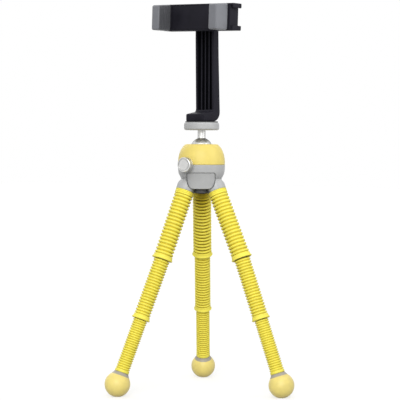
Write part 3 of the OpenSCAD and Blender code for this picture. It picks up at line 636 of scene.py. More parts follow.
def fine_band(section, low, high):
    """A band of fine ridges."""
    r = RIB_R[section]
    pitch = (high - low) / RIDGES
    points = []
    for i in range(RIDGES):
        start = low + i * pitch
        points += [(r - RIDGE_DEPTH, start), *arc((r - RIDGE_R, start + pitch / 2), RIDGE_R, -80, 80, 4),
                   (r - RIDGE_DEPTH, start + pitch)]
    return points + groove(section, high)


def smooth_band(section, low, high):
    """A plain band as thick as the beads, with rounded edges."""
    r = RIB_R[section]
    return [(r - 0.9, low), (r - 0.3, low + 0.05), (r, low + 0.35), (r, high - 0.4), (r - 0.3, high - 0.1),
            *groove(section, high)]


def collar(section, top, end):
    """A collar that flares downwards and is hollow beneath."""
    r = RIB_R[section]
    flare = r + COLLAR_FLARE
    return [*groove(section, top), (r - 0.2, top + 0.1), (r, top + 0.4),
            *bow((r, top + 1.0), (r + 0.1, end - 1.6), (flare, end - 0.9), 5), (flare + 0.02, end - 0.45),
            (flare - 0.3, end - 0.05), (flare - 0.8, end), (r - 0.5, end - COLLAR_HOLLOW)]


# %% [markdown]
# The first section has two sleeves that meet in a groove, because each sleeve bends over one hinge. Every sleeve
# is closed by a thin wall inside, spun, and given a painted shade value on its vertices, which grows with the
# depth of its grooves. The value is higher on the side that faces the other legs, where darker shade is painted.

# %% Sleeve models
SLEEVE_RISE = 1.2
HAIR = 0.05
WALL_STEPS, SLEEVE_STEPS = 24, 64
CREST_SHARE = 0.3
# Shares of painted shade in the grooves, with more on the side that faces the other legs.
GROOVE_SHADE_SHARE, INNER_SHADE_SHARE = 0.42, (0.46, 0.2, 0.0)


def sleeve(name, section, start, end, *runs):
    inner = bore_radius(section)
    # The wall needs points all the way down, or it would stay straight when the sleeve bends
    wall = [(inner, end + (start - end) * i / WALL_STEPS) for i in range(WALL_STEPS + 1)]
    piece = turned(name, [(inner, start), *(point for run in runs for point in run), *wall], SLEEVE_STEPS)
    low, high = groove_radius(section), RIB_R[section]

    # Painted shade: more deep in a groove, and more on the inward side.
    def rib_shade_at(point):
        radius = math.hypot(point.x, point.y) / MM
        depth = min(1.0, max(0.0, (high - radius) / (high - low) - CREST_SHARE) / (1 - CREST_SHARE))
        facing_inwards = max(0.0, point.x / MM / high)
        return depth * (GROOVE_SHADE_SHARE + INNER_SHADE_SHARE[section] * facing_inwards)

    return set_value(piece, RIB_SHADE_MARK, rib_shade_at)


knee_top, ankle_top = section_1 - COLLAR_H, section_2 - COLLAR_H
sleeve_models = [
    sleeve("sleeve_1", 0, -SLEEVE_RISE, seam, fine_band(0, -SLEEVE_RISE, BAND_H), beads(0, BAND_H, UPPER_RIBS),
           groove(0, seam)),
    sleeve("sleeve_2", 0, seam, section_1 - COLLAR_HOLLOW, groove(0, seam),
           beads(0, seam, RIBS[0] - UPPER_RIBS), collar(0, knee_top, section_1)),
    sleeve("sleeve_3", 1, START_GAP, section_2 - COLLAR_HOLLOW, groove(1, START_GAP),
           beads(1, START_GAP, RIBS[1]), collar(1, ankle_top, section_2)),
    sleeve("sleeve_4", 2, START_GAP, sleeve_end - HAIR, groove(2, START_GAP), beads(2, START_GAP, RIBS[2]),
           smooth_band(2, sleeve_end - BAND_H, sleeve_end - HAIR)),
]
print("points in the sleeve models:", [len(model.data.vertices) for model in sleeve_models])

# %% [markdown]
# The four models are copied to the three legs. A sleeve crosses one hinge; each copy is first given the body of
# one section and then taken off it again, with its place kept in its mesh. Close under the head the sleeves are
# almost black, which is painted shade, so the sleeves' value also rises towards the head's axis.

# %% Sleeves on the legs
SLEEVE_SECTION = (0, 0, 1, 2)
BEND_ZONE = ((0.0, seam), (seam, knee_top), (START_GAP, ankle_top), (START_GAP, sleeve_end - BAND_H))
SHADE_EDGE, SHADE_FADE = 18.0, 12.0
# How much shade is painted onto the sleeves close under the head.
HUB_SHADE_SHARE = 0.85


def on_each_leg(model, name, section):
    """Use a model up: give each leg with its own copy, settled at one of its sections."""
    for leg in LEGS:
        yield leg, settle(copy_of(model, f"{leg}_{name}"), LEG_PLACES[leg][section])
    bpy.data.objects.remove(model)


def leg_body(leg, number):
    return "hub" if number == 0 else f"{leg}_leg_{number}"


def bend_over_hinge(piece, leg, number):
    """Take a piece off its body and keep its place in its mesh."""
    piece.parent = None
    place = LEG_PLACES[leg][SLEEVE_SECTION[number]]
    low, high = (place @ mm(0, 0, at) for at in BEND_ZONE[number])
    leg_body(leg, number)
    leg_body(leg, number + 1)
    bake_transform(piece)
    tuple(low)
    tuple(high)


def under_hub(point):
    """How deep a point lies in the shade under the head, from 0 to 1."""
    away = math.hypot(point.x - root.x, point.y - root.y) / MM
    return min(1.0, max(0.0, (SHADE_EDGE - away) / SHADE_FADE))


for number, model in enumerate(sleeve_models):
    for leg, cover in on_each_leg(model, f"cover_{number + 1}", SLEEVE_SECTION[number]):
        # Paint the shade under the head into each copy's value.
        for item, vertex in zip(cover.data.attributes[RIB_SHADE_MARK].data, cover.data.vertices):
            item.value = min(1.0, item.value + HUB_SHADE_SHARE * under_hub(vertex.co))
        finish(cover, leg_body(leg, number), "yellow_rubber", f"{leg}_sleeve_{number + 1}")
        bend_over_hinge(cover, leg, number)

# %% [markdown]
# A core inside the rubber keeps the bend. The engineering model has stiff links there, and where a sleeve curves
# past a hinge they would come through the grooves. A real core bends as the rubber does, so it is drawn as ringed
# rods, one in each sleeve.

# %% Bending core
CORE_SHARE, CORE_STEPS = 0.62, 32
CORE_RING, CORE_PITCH = 0.35, 2.5
CORE_REACH = ((0.0, seam), (seam, section_1), (0.0, section_2), (0.0, sleeve_end + FOOT_COLLAR_H))


def core_rod(number, start, end):
    """A closed rod with shallow rings, as long as a sleeve."""
    r = CORE_SHARE * bore_radius(SLEEVE_SECTION[number])
    rings = round((end - start) / CORE_PITCH)
    pitch = (end - start) / rings
    outline = [(0, start)]
    for i in range(rings):
        low = start + i * pitch
        outline += [(r - CORE_RING, low), (r, low + 0.2 * pitch), (r, low + 0.8 * pitch)]
    return turned(f"core_{number + 1}", outline + [(r - CORE_RING, end), (0, end)], CORE_STEPS)


for number, (start, end) in enumerate(CORE_REACH):
    also = ["root_links"] if number == 0 else []
    for leg, rod in on_each_leg(core_rod(number, start, end), f"core_{number + 1}", SLEEVE_SECTION[number]):
        finish(rod, leg_body(leg, number), "core_plastic", f"{leg}_link_{number + 1}", *also)
        bend_over_hinge(rod, leg, number)

# %% [markdown]
# ## Ball feet
#
# The foot is a solid rubber ball on a grey plastic cone. A UV sphere with its pole along the leg hides one pole
# in the cone, and Bisect cuts the small flat on which the foot stands. Bisect counts points within a tenth of a
# millimetre of its plane as lying on it, which would leave a crooked flat, so that snap is made much smaller.

# %% Feet
BISECT_SNAP = 1e-8
ring_top, ring_low = sleeve_end + HAIR, sleeve_end + FOOT_COLLAR_H
ring_bore, ring_r = bore_radius(2), RIB_R[2]
ring_outline = [(ring_bore, ring_top), (ring_r - 0.5, ring_top),
                *arc((ring_r - 0.15, ring_top + 0.35), 0.35, -90, -20, 3),
                *bow((ring_r + 0.25, ring_top + 0.6), (ring_r + 0.9, ring_low - 0.9),
                     (FOOT_COLLAR_R - 0.15, ring_low - 0.35), 4),
                (FOOT_COLLAR_R - 0.02, ring_low - 0.1), (FOOT_COLLAR_R - 0.1, ring_low + 0.1),
                (ring_bore, ring_low - 0.6), (ring_bore, ring_top)]
for leg, ring in on_each_leg(turned("foot_ring", ring_outline, 72), "foot_ring", 2):
    finish(ring, f"{leg}_leg_4", "foot_grey", f"{leg}_foot_collar")

clear_selection()
bpy.ops.mesh.primitive_uv_sphere_add(segments=72, ring_count=40, radius=FOOT_R * MM, location=mm(0, 0, section_3))
for leg, ball in on_each_leg(new_piece("foot_ball"), "foot_ball", 2):
    open_mesh(ball)
    bpy.ops.mesh.bisect(plane_co=(0, 0, 0), plane_no=(0, 0, 1), clear_inner=True, use_fill=True,
                        threshold=BISECT_SNAP)
    turn_outwards()
    finish(settle(ball), f"{leg}_leg_4", "foot_rubber", f"{leg}_foot")

# %% [markdown]
# ## The hub
#
# The lower half of the head is a waisted grey moulding. Three domed sockets push up into it from below, and
# three shield-shaped panels close the spaces between them. The body is turned first. Shields and domes, drawn a
# little larger than the real ones, then cut their beds into it, and the panels and sockets are made to the same
# outline, which leaves the fine dark line around each panel.

# %% Shields
BODY_R = 20.1
WAIST = (17.1, 11.5)
BAND_LOW = (BODY_R - 0.5, SPLIT_H - 7)
PANEL_TOP = BAND_LOW[1] - 0.2
PANEL_W, PANEL_FOOT_W, PANEL_H = 23.7, 11.8, 13.4
PANEL_PROUD, PANEL_T, PANEL_GAP = 0.2, 1.8, 0.4
PANEL_CORNER, PANEL_STRAIGHT = 1.5, 0.28


def shield(grow):
    """A shield outline that hangs below the origin, in (across, up) points."""
    half = PANEL_W / 2 + grow
    foot = PANEL_FOOT_W / 2 + grow
    low = -PANEL_H - grow
    side = [*arc((half - PANEL_CORNER, grow - PANEL_CORNER), PANEL_CORNER, 90, 0, 5),
            *bow((half, -PANEL_H * PANEL_STRAIGHT), (half, low), (foot, low), 12)]
    return side + [(-x, y) for x, y in reversed(side)]


def shield_prism(name, grow, number):
    """A shield pushed out through the hub between a leg and the next one, counter-clockwise."""
    prism = extruded(name, shield(grow), BODY_R + 3)
    leg_outwards = UP.cross(hinge_axis(f"{LEGS[number]}_spread"))
    outwards = Matrix.Rotation(math.radians(60), 3, "Z") @ leg_outwards
    turn = Matrix((UP.cross(outwards), UP, outwards)).transposed().to_4x4()
    prism.data.transform(Matrix.Translation(root + UP * PANEL_TOP * MM) @ turn)
    return prism


def waist_form(name, margin):
    """A turned solid that follows the waist and the slope over it, at a distance."""
    form = turned(name, [(0, -5), (WAIST[0] + margin, -5), (WAIST[0] + margin, WAIST[1]),
                         (BAND_LOW[0] + margin, BAND_LOW[1]), (BAND_LOW[0] + margin, SPLIT_H), (0, SPLIT_H)])
    form.data.transform(hub_place)
    return form


def panel_bed(number):
    """The room of one panel, a little larger than the panel."""
    return cut(shield_prism("bed", PANEL_GAP, number), waist_form("core", PANEL_PROUD - PANEL_T))


# %% [markdown]
# The hub's body is a waisted bowl. It could be sculpted in one go, but spinning its outline and cutting the beds
# one after another keeps each step easy to check. Slivers left by one cut are merged before the next, because an
# exact Boolean needs a closed shape. The ball's cup and the lock's shoe move inside the head, so they get a room.

# %% Hub body
HUB_FLOOR = (9.5, 1.8)
SOCKET_R, SOCKET_H, BED_GAP = 8.1, 4.6, 0.12
LOCK_HOLE_R = 2.75
CUP_ROOM_R, CUP_ROOM_FLOOR = 10.8, 18.9
SHOE_ROOM_R, SHOE_ROOM = 3.2, (4.9, 14.7)
SHADE_GAIN, SHADE_TOP, SHADE_DEPTH = 1.3, 6, 3


def bore(name, place, radius, low, high):
    """A round tool for a hole along a place's Z."""
    tool = turned(name, [(0, low), (radius, low), (radius, high), (0, high)], 48)
    tool.data.transform(place)
    return tool


def socket_shape(name, grow, place, neck):
    """A dome on a neck, whose outline is given from the edge to the axis."""
    piece = turned(name, [*arc((0, -SOCKET_H), SOCKET_R + grow, -90, 0, 16), *neck], 72)
    piece.data.transform(place)
    return piece


def shade_grey(piece):
    """Darken what lies deep under the head."""
    return set_value(piece, SHADE_VALUE, lambda point: SHADE_GAIN * under_hub(point)
                     * (SHADE_TOP - (point.z - root.z) / MM) / SHADE_DEPTH)


hub_outline = [(0, HUB_FLOOR[1]), HUB_FLOOR, *bow(HUB_FLOOR, (WAIST[0] - 1.6, WAIST[1] - 4), WAIST, 6)[1:],
               *bow(BAND_LOW, (BODY_R, BAND_LOW[1] + 3.5), (BODY_R, SPLIT_H - 0.7), 6),
               (BODY_R - 0.55, SPLIT_H - 0.02), (0, SPLIT_H - 0.02)]
hub = turned("hub_body", hub_outline)
hub.data.transform(hub_place)
for number in range(3):
    merge_slivers(cut(hub, panel_bed(number)))
for leg in LEGS:
    bed_neck = [(SOCKET_R + BED_GAP, 6), (0, 6)]
    merge_slivers(cut(hub, socket_shape("dome_bed", BED_GAP, LEG_PLACES[leg][0], bed_neck)))
merge_slivers(cut(hub, bore("lock_hole", knob_place, LOCK_HOLE_R, 10, 30)))
merge_slivers(cut(hub, bore("cup_room", hub_place, CUP_ROOM_R, CUP_ROOM_FLOOR, SPLIT_H + 2)))
merge_slivers(cut(hub, bore("shoe_room", knob_place, SHOE_ROOM_R, *SHOE_ROOM)))
finish(shade_grey(settle(soften(hub, 0.15, 2, 40))), "hub", "grey_plastic", "hub_shell")

# %% [markdown]
# The shields follow the hub's curve like pieces of its own skin. A flat plate bent into shape would never sit
# flush, so each panel is the overlap of a slightly larger waist with a shield-shaped prism, and a smaller waist
# hollows it.

# %% Panels
for number in range(3):
    panel = waist_form(f"shield_panel_{number + 1}", PANEL_PROUD)
    combine(panel, shield_prism("shape", -0.1, number), "INTERSECT")
    cut(panel, waist_form("core", PANEL_PROUD - PANEL_T + 0.02))
    finish(settle(soften(merge_slivers(panel), 0.35, 3, 40)), "hub", "grey_plastic", "hub_panels")

# %% [markdown]
# Each leg hangs from a hollow dome, and a spigot under the dome goes into the sleeve. The domes could be
# spheres, but only their lower neck shows, so they are turned like the rest and cut back beside the panels.

# %% Sockets
spigot_r = bore_radius(0) - HAIR
rim = -SLEEVE_RISE - HAIR
socket_neck = [(SOCKET_R, rim - 0.25), (SOCKET_R - 0.25, rim), (spigot_r, rim), (spigot_r, 0), (0, 0)]
for number, leg in enumerate(LEGS):
    socket = socket_shape(f"{leg}_socket", 0, LEG_PLACES[leg][0], socket_neck)
    for side in (number, (number + 2) % 3):
        cut(socket, panel_bed(side))
    finish(shade_grey(settle(soften(merge_slivers(socket), 0.15, 2, 40))), "hub", "grey_plastic", "leg_sockets")

# %% [markdown]
# ## The cap and the ball
#
# The yellow cap swells out from the joint line and draws in to a flat rim around the ball. Its opening follows
# the ball closely, so only a thin shadow shows between them.

# %% Cap
BALL_R = 9.5
CAP_H, CAP_BULGE = 17.4, 0.72
CAP_TOP = (13.55, SPLIT_H + CAP_H)
ball_h = (ball_centre.z - root.z) / MM
cap_foot = SPLIT_H + 0.02
seat_edge = math.sqrt((BALL_R + 0.12) ** 2 - (CAP_TOP[1] - ball_h) ** 2)
cap_side = bow((BODY_R, SPLIT_H + 0.15), (BODY_R, SPLIT_H + CAP_H * CAP_BULGE), CAP_TOP, 24)[:-1]
cap_outline = [(CUP_ROOM_R, cap_foot), (BODY_R - 0.12, cap_foot), *cap_side,
               (CAP_TOP[0] - 0.35, CAP_TOP[1] - 0.02), (seat_edge + 0.5, CAP_TOP[1]),
               (seat_edge + 0.05, CAP_TOP[1] - 0.3), (BALL_R + 0.15, ball_h + 0.5),
               (CUP_ROOM_R, ball_h - 2.5), (CUP_ROOM_R, cap_foot)]
cap = turned("head_cap_shell", cap_outline, 128)
cap.data.transform(hub_place)
cut(cap, bore("lock_hole", knob_place, LOCK_HOLE_R, 14, 30))
cut(cap, bore("shoe_room", knob_place, SHOE_ROOM_R, *SHOE_ROOM))
finish(settle(cap), "hub", "yellow_plastic", "head_cap")

# %% [markdown]
# On the real stand the ball and its neck are one turned piece, and a small fillet between them keeps it from
# breaking. One outline with two arcs and one spin gives the same form without joining anything.

# %% Ball and neck
NECK_R, NECK_DEPTH = 3.3, 4
NECK_TOP = 15.9 + NECK_DEPTH
FILLET = 1.0
neck_start = math.degrees(math.acos((NECK_R + FILLET) / (BALL_R + FILLET)))
fillet_centre = (NECK_R + FILLET, (BALL_R + FILLET) * math.sin(math.radians(neck_start)))
stud_outline = [*arc((0, 0), BALL_R, -90, neck_start, 40),
                *arc(fillet_centre, FILLET, neck_start - 180, -180, 5)[1:],
                (NECK_R, NECK_TOP), (0, NECK_TOP)]
stud = turned("ball_and_neck", stud_outline, 128)
finish(settle(stud, Matrix.Translation(ball_centre)), "ball", "polished_steel", "ball_stud")

# %% [markdown]
# ## The round plate, its pad and the knob
#
# The plate is a thick grey disc with well-rounded rims, and a black rubber pad with shallow rings lies on it.
# Both are turned, and the plate has a hollow on each side, for the neck and for the camera screw's flange.

# %% Plate and pad
PLATE_R, PLATE_T, PLATE_ROUND = 15.0, 6.7, 1.7
FLANGE_R, FLANGE_T = 6.2, 1.7
PAD_R, PAD_T, PAD_HOLE = 14.0, 0.8, 3.5
PAD_RINGS, PAD_RING_DEPTH = 5, 0.25
plate_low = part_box("camera_plate")[0].z
plate_place = Matrix.Translation((ball_centre.x, ball_centre.y, plate_low))
neck_hole = NECK_R + HAIR
plate_outline = [(neck_hole, 0), *arc((PLATE_R - PLATE_ROUND, PLATE_ROUND), PLATE_ROUND, -90, 0, 8),
                 *arc((PLATE_R - PLATE_ROUND, PLATE_T - PLATE_ROUND), PLATE_ROUND, 0, 90, 8),
                 (FLANGE_R, PLATE_T), (FLANGE_R, PLATE_T - FLANGE_T), (0, PLATE_T - FLANGE_T),
                 (0, NECK_DEPTH), (neck_hole, NECK_DEPTH), (neck_hole, 0)]
plate = turned("round_plate", plate_outline, 128)
finish(settle(plate, plate_place), "ball", "grey_plastic", "camera_plate")

pad_low = PAD_T - PAD_RING_DEPTH
pad_top = [(PAD_HOLE, PAD_T)]
for i in range(PAD_RINGS):
    ring_at = 5 + i * 1.8
    pad_top += [(ring_at, PAD_T), (ring_at + 0.2, pad_low), (ring_at + 0.6, pad_low), (ring_at + 0.8, PAD_T)]
pad_outline = [(PAD_HOLE, 0.01), (PAD_R - 0.1, 0.01), (PAD_R, 0.2), (PAD_R, PAD_T - 0.2), (PAD_R - 0.2, PAD_T),
               *reversed(pad_top), (PAD_HOLE, 0.01)]
pad_place = plate_place @ Matrix.Translation(mm(0, 0, PLATE_T))
finish(settle(turned("grip_pad", pad_outline, 96), pad_place), "ball", "black_rubber", "plate_pad")

# %% [markdown]
# The knob is the piece that a hand meets most. It is turned metal, and its rim stands a little proud of a
# recessed face. Its milled edge could be drawn into the outline as teeth, but the spin already leaves narrow
# strips of faces, so an inset pushes in every second pair of them.

# %% Knob
KNOB_R, KNOB_T, KNOB_REACH, KNOB_BORE = 6.25, 4.9, 27.4, 2.55
KNOB_TEETH, KNURL = 36, 0.14
knob_back = KNOB_REACH - KNOB_T
knob_outline = [(KNOB_BORE, knob_back), (KNOB_R - 0.8, knob_back), (KNOB_R, knob_back + 0.5),
                (KNOB_R, KNOB_REACH - 0.9), *arc((KNOB_R - 0.5, KNOB_REACH - 0.5), 0.5, 0, 90, 4),
                (KNOB_R - 0.95, KNOB_REACH), (KNOB_R - 1.05, KNOB_REACH - 0.7),
                (KNOB_R - 1.55, KNOB_REACH - 0.7), (KNOB_R - 1.7, KNOB_REACH - 0.25), (0, KNOB_REACH - 0.2),
                (0, knob_back + 2), (KNOB_BORE, knob_back + 2), (KNOB_BORE, knob_back)]
knob = turned("lock_knob_head", knob_outline, KNOB_TEETH * 4)
open_mesh(knob, "DESELECT")
bpy.ops.object.mode_set(mode="OBJECT")
for face in knob.data.polygons:
    centre = face.center / MM
    on_edge = abs(face.normal.z) < 0.1 and math.hypot(centre.x, centre.y) > KNOB_R - 0.1
    strip = int((math.degrees(math.atan2(centre.y, centre.x)) % 360) / 360 * KNOB_TEETH * 4)
    face.select = on_edge and strip % 4 < 2
bpy.ops.object.mode_set(mode="EDIT")
bpy.ops.mesh.select_mode(type="FACE")
bpy.ops.mesh.inset(thickness=0.08 * MM, depth=-KNURL * MM)
bpy.ops.mesh.select_mode(type="VERT")
bpy.ops.object.mode_set(mode="OBJECT")
finish(settle(knob, knob_place), "lock_handle", "knob_metal", "lock_knob")

# %% [markdown]
# ## Screw heads
#
# Small screws show only their heads, so one function makes them all: a low cylinder with a rounded rim and a
# six-sided key hole, which is a six-sided prism cut out with a Boolean.

# %% Screws


def screw(name, place, head_r, head_h, shank_r, length, key_r):
    """A screw whose head starts at the place's origin and whose shank runs along Z."""
    outline = [(0, 0), (head_r - 0.25, 0), (head_r, 0.25), (head_r, head_h - 0.1), (head_r - 0.1, head_h),
               (shank_r, head_h), (shank_r, length - 0.3), (shank_r - 0.3, length), (0, length)]
    piece = turned(name, outline, 48)
    clear_selection()
    bpy.ops.mesh.primitive_cylinder_add(vertices=6, radius=key_r * MM, depth=head_h * 1.2 * MM)
    cut(piece, bpy.context.object)
    return settle(piece, place)


base_place = Matrix.Translation((root.x, root.y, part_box("base_screw")[0].z))
finish(screw("base_screw_head", base_place, 2.75, 1.2, 1.5, 10, 1.1), "hub", "steel", "base_screw")

# %% [markdown]
# ## The phone arm
#
# The arm is one black moulding shaped like an L: a thick foot on the plate, a bend with a large round outside,
# and a stem that carries the clamp's pivot in a round end. The side outline is drawn and pulled across, and the
# round end is joined to it before all the edges are softened.

# %% Arm
ARM_W, ARM_FRONT, ARM_CORNER = 21.0, 8.6, 4.1
ARM_T, ARM_TOP_T, FOOT_TIP_T = 8.0, 6.0, 6.2
PIVOT_H, CLAMP_H = 88.1, 22.6
INNER_BEND = 3.0
arm_face = ARM_CORNER - 0.9
arm_back = arm_face + ARM_TOP_T
straight_from = PIVOT_H - CLAMP_H / 2 - 8
inner_bend = [(ARM_CORNER - INNER_BEND + INNER_BEND * math.cos(a), ARM_T + INNER_BEND - INNER_BEND * math.sin(a))
              for a in (0.3, 0.6, 0.9, 1.2)]
arm_side = [(-ARM_FRONT, 0), *arc((ARM_CORNER, ARM_T), ARM_T, -90, 0, 14)[:-1],
            (ARM_CORNER + ARM_T, ARM_T), (arm_back, PIVOT_H), (arm_face, PIVOT_H),
            (arm_face, straight_from), (ARM_CORNER, ARM_T + INNER_BEND), *inner_bend,
            (ARM_CORNER - INNER_BEND, ARM_T), (-ARM_FRONT, FOOT_TIP_T)]
arm = extruded("phone_arm_body", arm_side, ARM_W)
arm.data.transform(Matrix(((0, 0, 1, -ARM_W / 2 * MM), (1, 0, 0, 0), (0, 1, 0, 0), (0, 0, 0, 1))))
eye = turned("eye", [(0, 0), (ARM_W / 2, 0), (ARM_W / 2, ARM_TOP_T), (0, ARM_TOP_T)], 96)
eye.data.transform(place_at(mm(0, arm_back, PIVOT_H), FRONT, UP))
combine(arm, eye, "UNION")
soften(arm, 0.9, 4, 30)
print("phone arm:", len(arm.data.polygons), "faces before it is hollowed")

# %% [markdown]
# Its front is hollowed out, as moulders do to save plastic, and three thin ribs run down the hollow. A block is
# cut with the ribs first, and what is left of it cuts the hollow. The vertices inside carry a value, so that
# shade can be painted darker into the material there.

# %% The arm's hollow
FLANGE_W, STEM_RIBS = 2.2, 3
CHANNEL_DEPTH, RIB_BACK, RIB_W = 3.4, 1.4, 1.3
BOLT_HOLE_R, BOLT_SEAT_R, BOLT_SEAT = 2.57, 4.7, 0.3
INSERT_R, INSERT_H = 4.65, 5.65
half_w = (ARM_W - 2 * FLANGE_W) / 2
rib_spacing = 2 * half_w / (STEM_RIBS + 1)
channel_back = arm_face + CHANNEL_DEPTH
channel_low, channel_top = ARM_T + 2, PIVOT_H - CLAMP_H / 2 + 1
hollow = block("hollow", (-half_w, arm_face - 6, channel_low), (half_w, channel_back, channel_top))
for i in range(1, STEM_RIBS + 1):
    middle = -half_w + i * rib_spacing
    cut(hollow, block("rib", (middle - RIB_W / 2, arm_face + RIB_BACK, channel_low - 1),
                      (middle + RIB_W / 2, channel_back + 3, channel_top + 1)))
soften(hollow, 0.3, 2, 40)
merge_slivers(cut(arm, hollow), 0.03)
pivot_back = place_at(mm(0, arm_back, PIVOT_H), BACK, UP)
merge_slivers(cut(arm, bore("bolt_hole", pivot_back, BOLT_HOLE_R, -10, 10)))
merge_slivers(cut(arm, bore("bolt_seat", pivot_back, BOLT_SEAT_R, -BOLT_SEAT, 3)))
merge_slivers(cut(arm, bore("insert_hole", Matrix(), INSERT_R, -1, INSERT_H)))


def hollow_shade_mask(point):
    """1 inside the hollow, behind the front edges of the ribs, where shade is painted."""
    x, y, z = (value / MM for value in point)
    inside = channel_low - 0.5 < z < channel_top + 0.5 and abs(x) < half_w + 0.3
    return float(inside and arm_face + RIB_BACK + 0.3 < y < channel_back + 0.3)


# Mark the hollow for painted shade.
set_value(arm, HOLLOW_SHADE_MARK, hollow_shade_mask)
finish(settle(arm, Matrix.Translation(hinge_point("arm_turn"))), "arm", "black_plastic", "phone_arm")

# %% [markdown]
# ## The phone clamp
#
# The clamp is a shallow black box with a plate let into its front. The right jaw is part of the box and the left
# one slides. Both jaws wear thick grey rubber boots with soft corners and fine upright grip lines where they
# meet the phone. Past the right jaw the box ends in a shoe for a small light: a channel with two lips.

# %% Clamp sizes
HALF_GAP, CLAMP_T = 27.5, 11.0
JAW_W, JAW_REACH, JAW_RUBBER = 9.0, 15.3, 1.8
SHOE_FLOOR, SHOE_SLOT, SHOE_LIP = 2.0, 2.1, 1.3
SHOE_W, SHOE_MOUTH = 18.65, 14.6
COVER_RIM, COVER_T, COVER_GAP = 1.2, 1.6, 0.12
END_WALL, BACK_WALL, SIDE_WALL = 4.0, 2.6, 2.0
ROD_HOLE_R, ROD_ROOM = 1.35, 2.3
THROUGH = 2
SIDES = (-1, 1)
clamp_along = -hinge_axis("jaw_slide")
clamp_place = place_at(hinge_point("clamp_turn"), clamp_along.cross(BACK), clamp_along)


def clamp_block(name, x_low, x_high, front, back, height):
    return block(name, (x_low, -front, -height / 2), (x_high, -back, height / 2))


def facing_front(x=0.0, y=0.0):
    """A place on the clamp whose Z runs towards the phone."""
    return place_at(mm(x, y, 0), FRONT, UP)


def join_jaw_core(piece, x_low):
    """Join the plastic that fills the boot of a jaw."""
    room = JAW_RUBBER + HAIR
    core = clamp_block("core", x_low + room, x_low + JAW_W - room, CLAMP_T + JAW_REACH - room, CLAMP_T / 2,
                       CLAMP_H - 2 * room)
    combine(piece, core, "UNION")


# %% [markdown]
# The case is moulded in one piece with the right jaw's core and the shoe. Starting from a box is fair here,
# because the real one is a box: the corners are rounded, the inside and the plate's step are cut out, and the
# core is added.

# %% Clamp body
shoe_x = HALF_GAP + JAW_W + SHOE_FLOOR
shoe_end = shoe_x + SHOE_SLOT + SHOE_LIP
PIVOT_HOLE_R, SCREW_HOLE_R, BORE_DEPTH = 2.55, 1.25, 12
SCREW_INSET, SINK_R, SINK_DEPTH = 1.33, 2.0, 1.35
body = clamp_block("clamp_case", -HALF_GAP, shoe_end, CLAMP_T, 0, CLAMP_H)
cut(body, clamp_block("slot", shoe_x, shoe_x + SHOE_SLOT, CLAMP_T + THROUGH, -THROUGH, SHOE_W))
cut(body, clamp_block("mouth", shoe_x, shoe_end + THROUGH, CLAMP_T + THROUGH, -THROUGH, SHOE_MOUTH))
soften(body, 0.7, 3, 40)
cut(body, clamp_block("inside", -HALF_GAP + END_WALL, HALF_GAP - END_WALL, CLAMP_T + THROUGH, BACK_WALL,
                      CLAMP_H - 2 * SIDE_WALL))
cut(body, clamp_block("step", -HALF_GAP + COVER_RIM, HALF_GAP - COVER_RIM, CLAMP_T + THROUGH,
                      CLAMP_T - COVER_T, CLAMP_H - 2 * COVER_RIM))
join_jaw_core(body, HALF_GAP)
rod_z = CLAMP_H / 2 - SIDE_WALL - ROD_ROOM
rod_y = BACK_WALL + (CLAMP_T - BACK_WALL - COVER_T) / 2
for side in SIDES:
    rod_place = place_at(mm(0, -rod_y, side * rod_z), RIGHT, UP)
    cut(body, bore("rod_hole", rod_place, ROD_HOLE_R, -HALF_GAP - THROUGH, -HALF_GAP + END_WALL + THROUGH))
cut(body, bore("pivot_hole", facing_front(), PIVOT_HOLE_R, -THROUGH, BORE_DEPTH))
screw_x = HALF_GAP - COVER_RIM - SCREW_INSET
for side in SIDES:
    cut(body, bore("screw_hole", facing_front(side * screw_x), SCREW_HOLE_R, -1, BORE_DEPTH))
    cut(body, bore("screw_sink", facing_front(side * screw_x), SINK_R, -1, SINK_DEPTH))
finish(settle(body, clamp_place), "clamp", "black_plastic", "clamp_body")

# %% [markdown]
# A thin plate lies in the step of the case, with a hair's gap all round, and two small screws hold it. Its own
# rounded rim makes the gap visible, which a line drawn in the material wouldn't do from the side.

# %% Cover plate
plate_end = HALF_GAP - COVER_RIM - COVER_GAP
cover = clamp_block("clamp_front_plate", -plate_end, plate_end, CLAMP_T - HAIR, CLAMP_T - COVER_T,
                    CLAMP_H - 2 * COVER_RIM - 2 * COVER_GAP)
finish(settle(soften(cover, 0.3, 3), clamp_place), "clamp", "black_plastic", "clamp_cover")
for number, side in enumerate(SIDES):
    place = clamp_place @ facing_front(side * screw_x)
    finish(screw(f"cover_screw_{number + 1}", place, 1.8, 1.3, 1.1, 10.1, 0.75), "clamp", "steel", "cover_screws")

# %% [markdown]
# The boots are soft caps pulled over the jaws. Their corners are much rounder than the plastic's, and their
# front tops are drawn down a little. The grip lines are real cuts, so they also show in the outline from above.

# %% Rubber boots
GRIP_LINES, GRIP_DEPTH, GRIP_HALF_W = 7, 0.35, 0.35
GRIP_EDGE, GRIP_MARGIN = 0.6, 1.9
TIP_DROP, BOOT_ROUND = 1.5, 1.6


def drop_front_top(piece):
    """Lower the upper edge of a boot's front."""
    open_mesh(piece, "DESELECT")
    bpy.ops.object.mode_set(mode="OBJECT")
    for vertex in piece.data.vertices:
        vertex.select = vertex.co.y < -(CLAMP_T + TIP_DROP) * MM and vertex.co.z > 0
    bpy.ops.object.mode_set(mode="EDIT")
    bpy.ops.transform.translate(value=mm(0, 0, -TIP_DROP))
    bpy.ops.object.mode_set(mode="OBJECT")


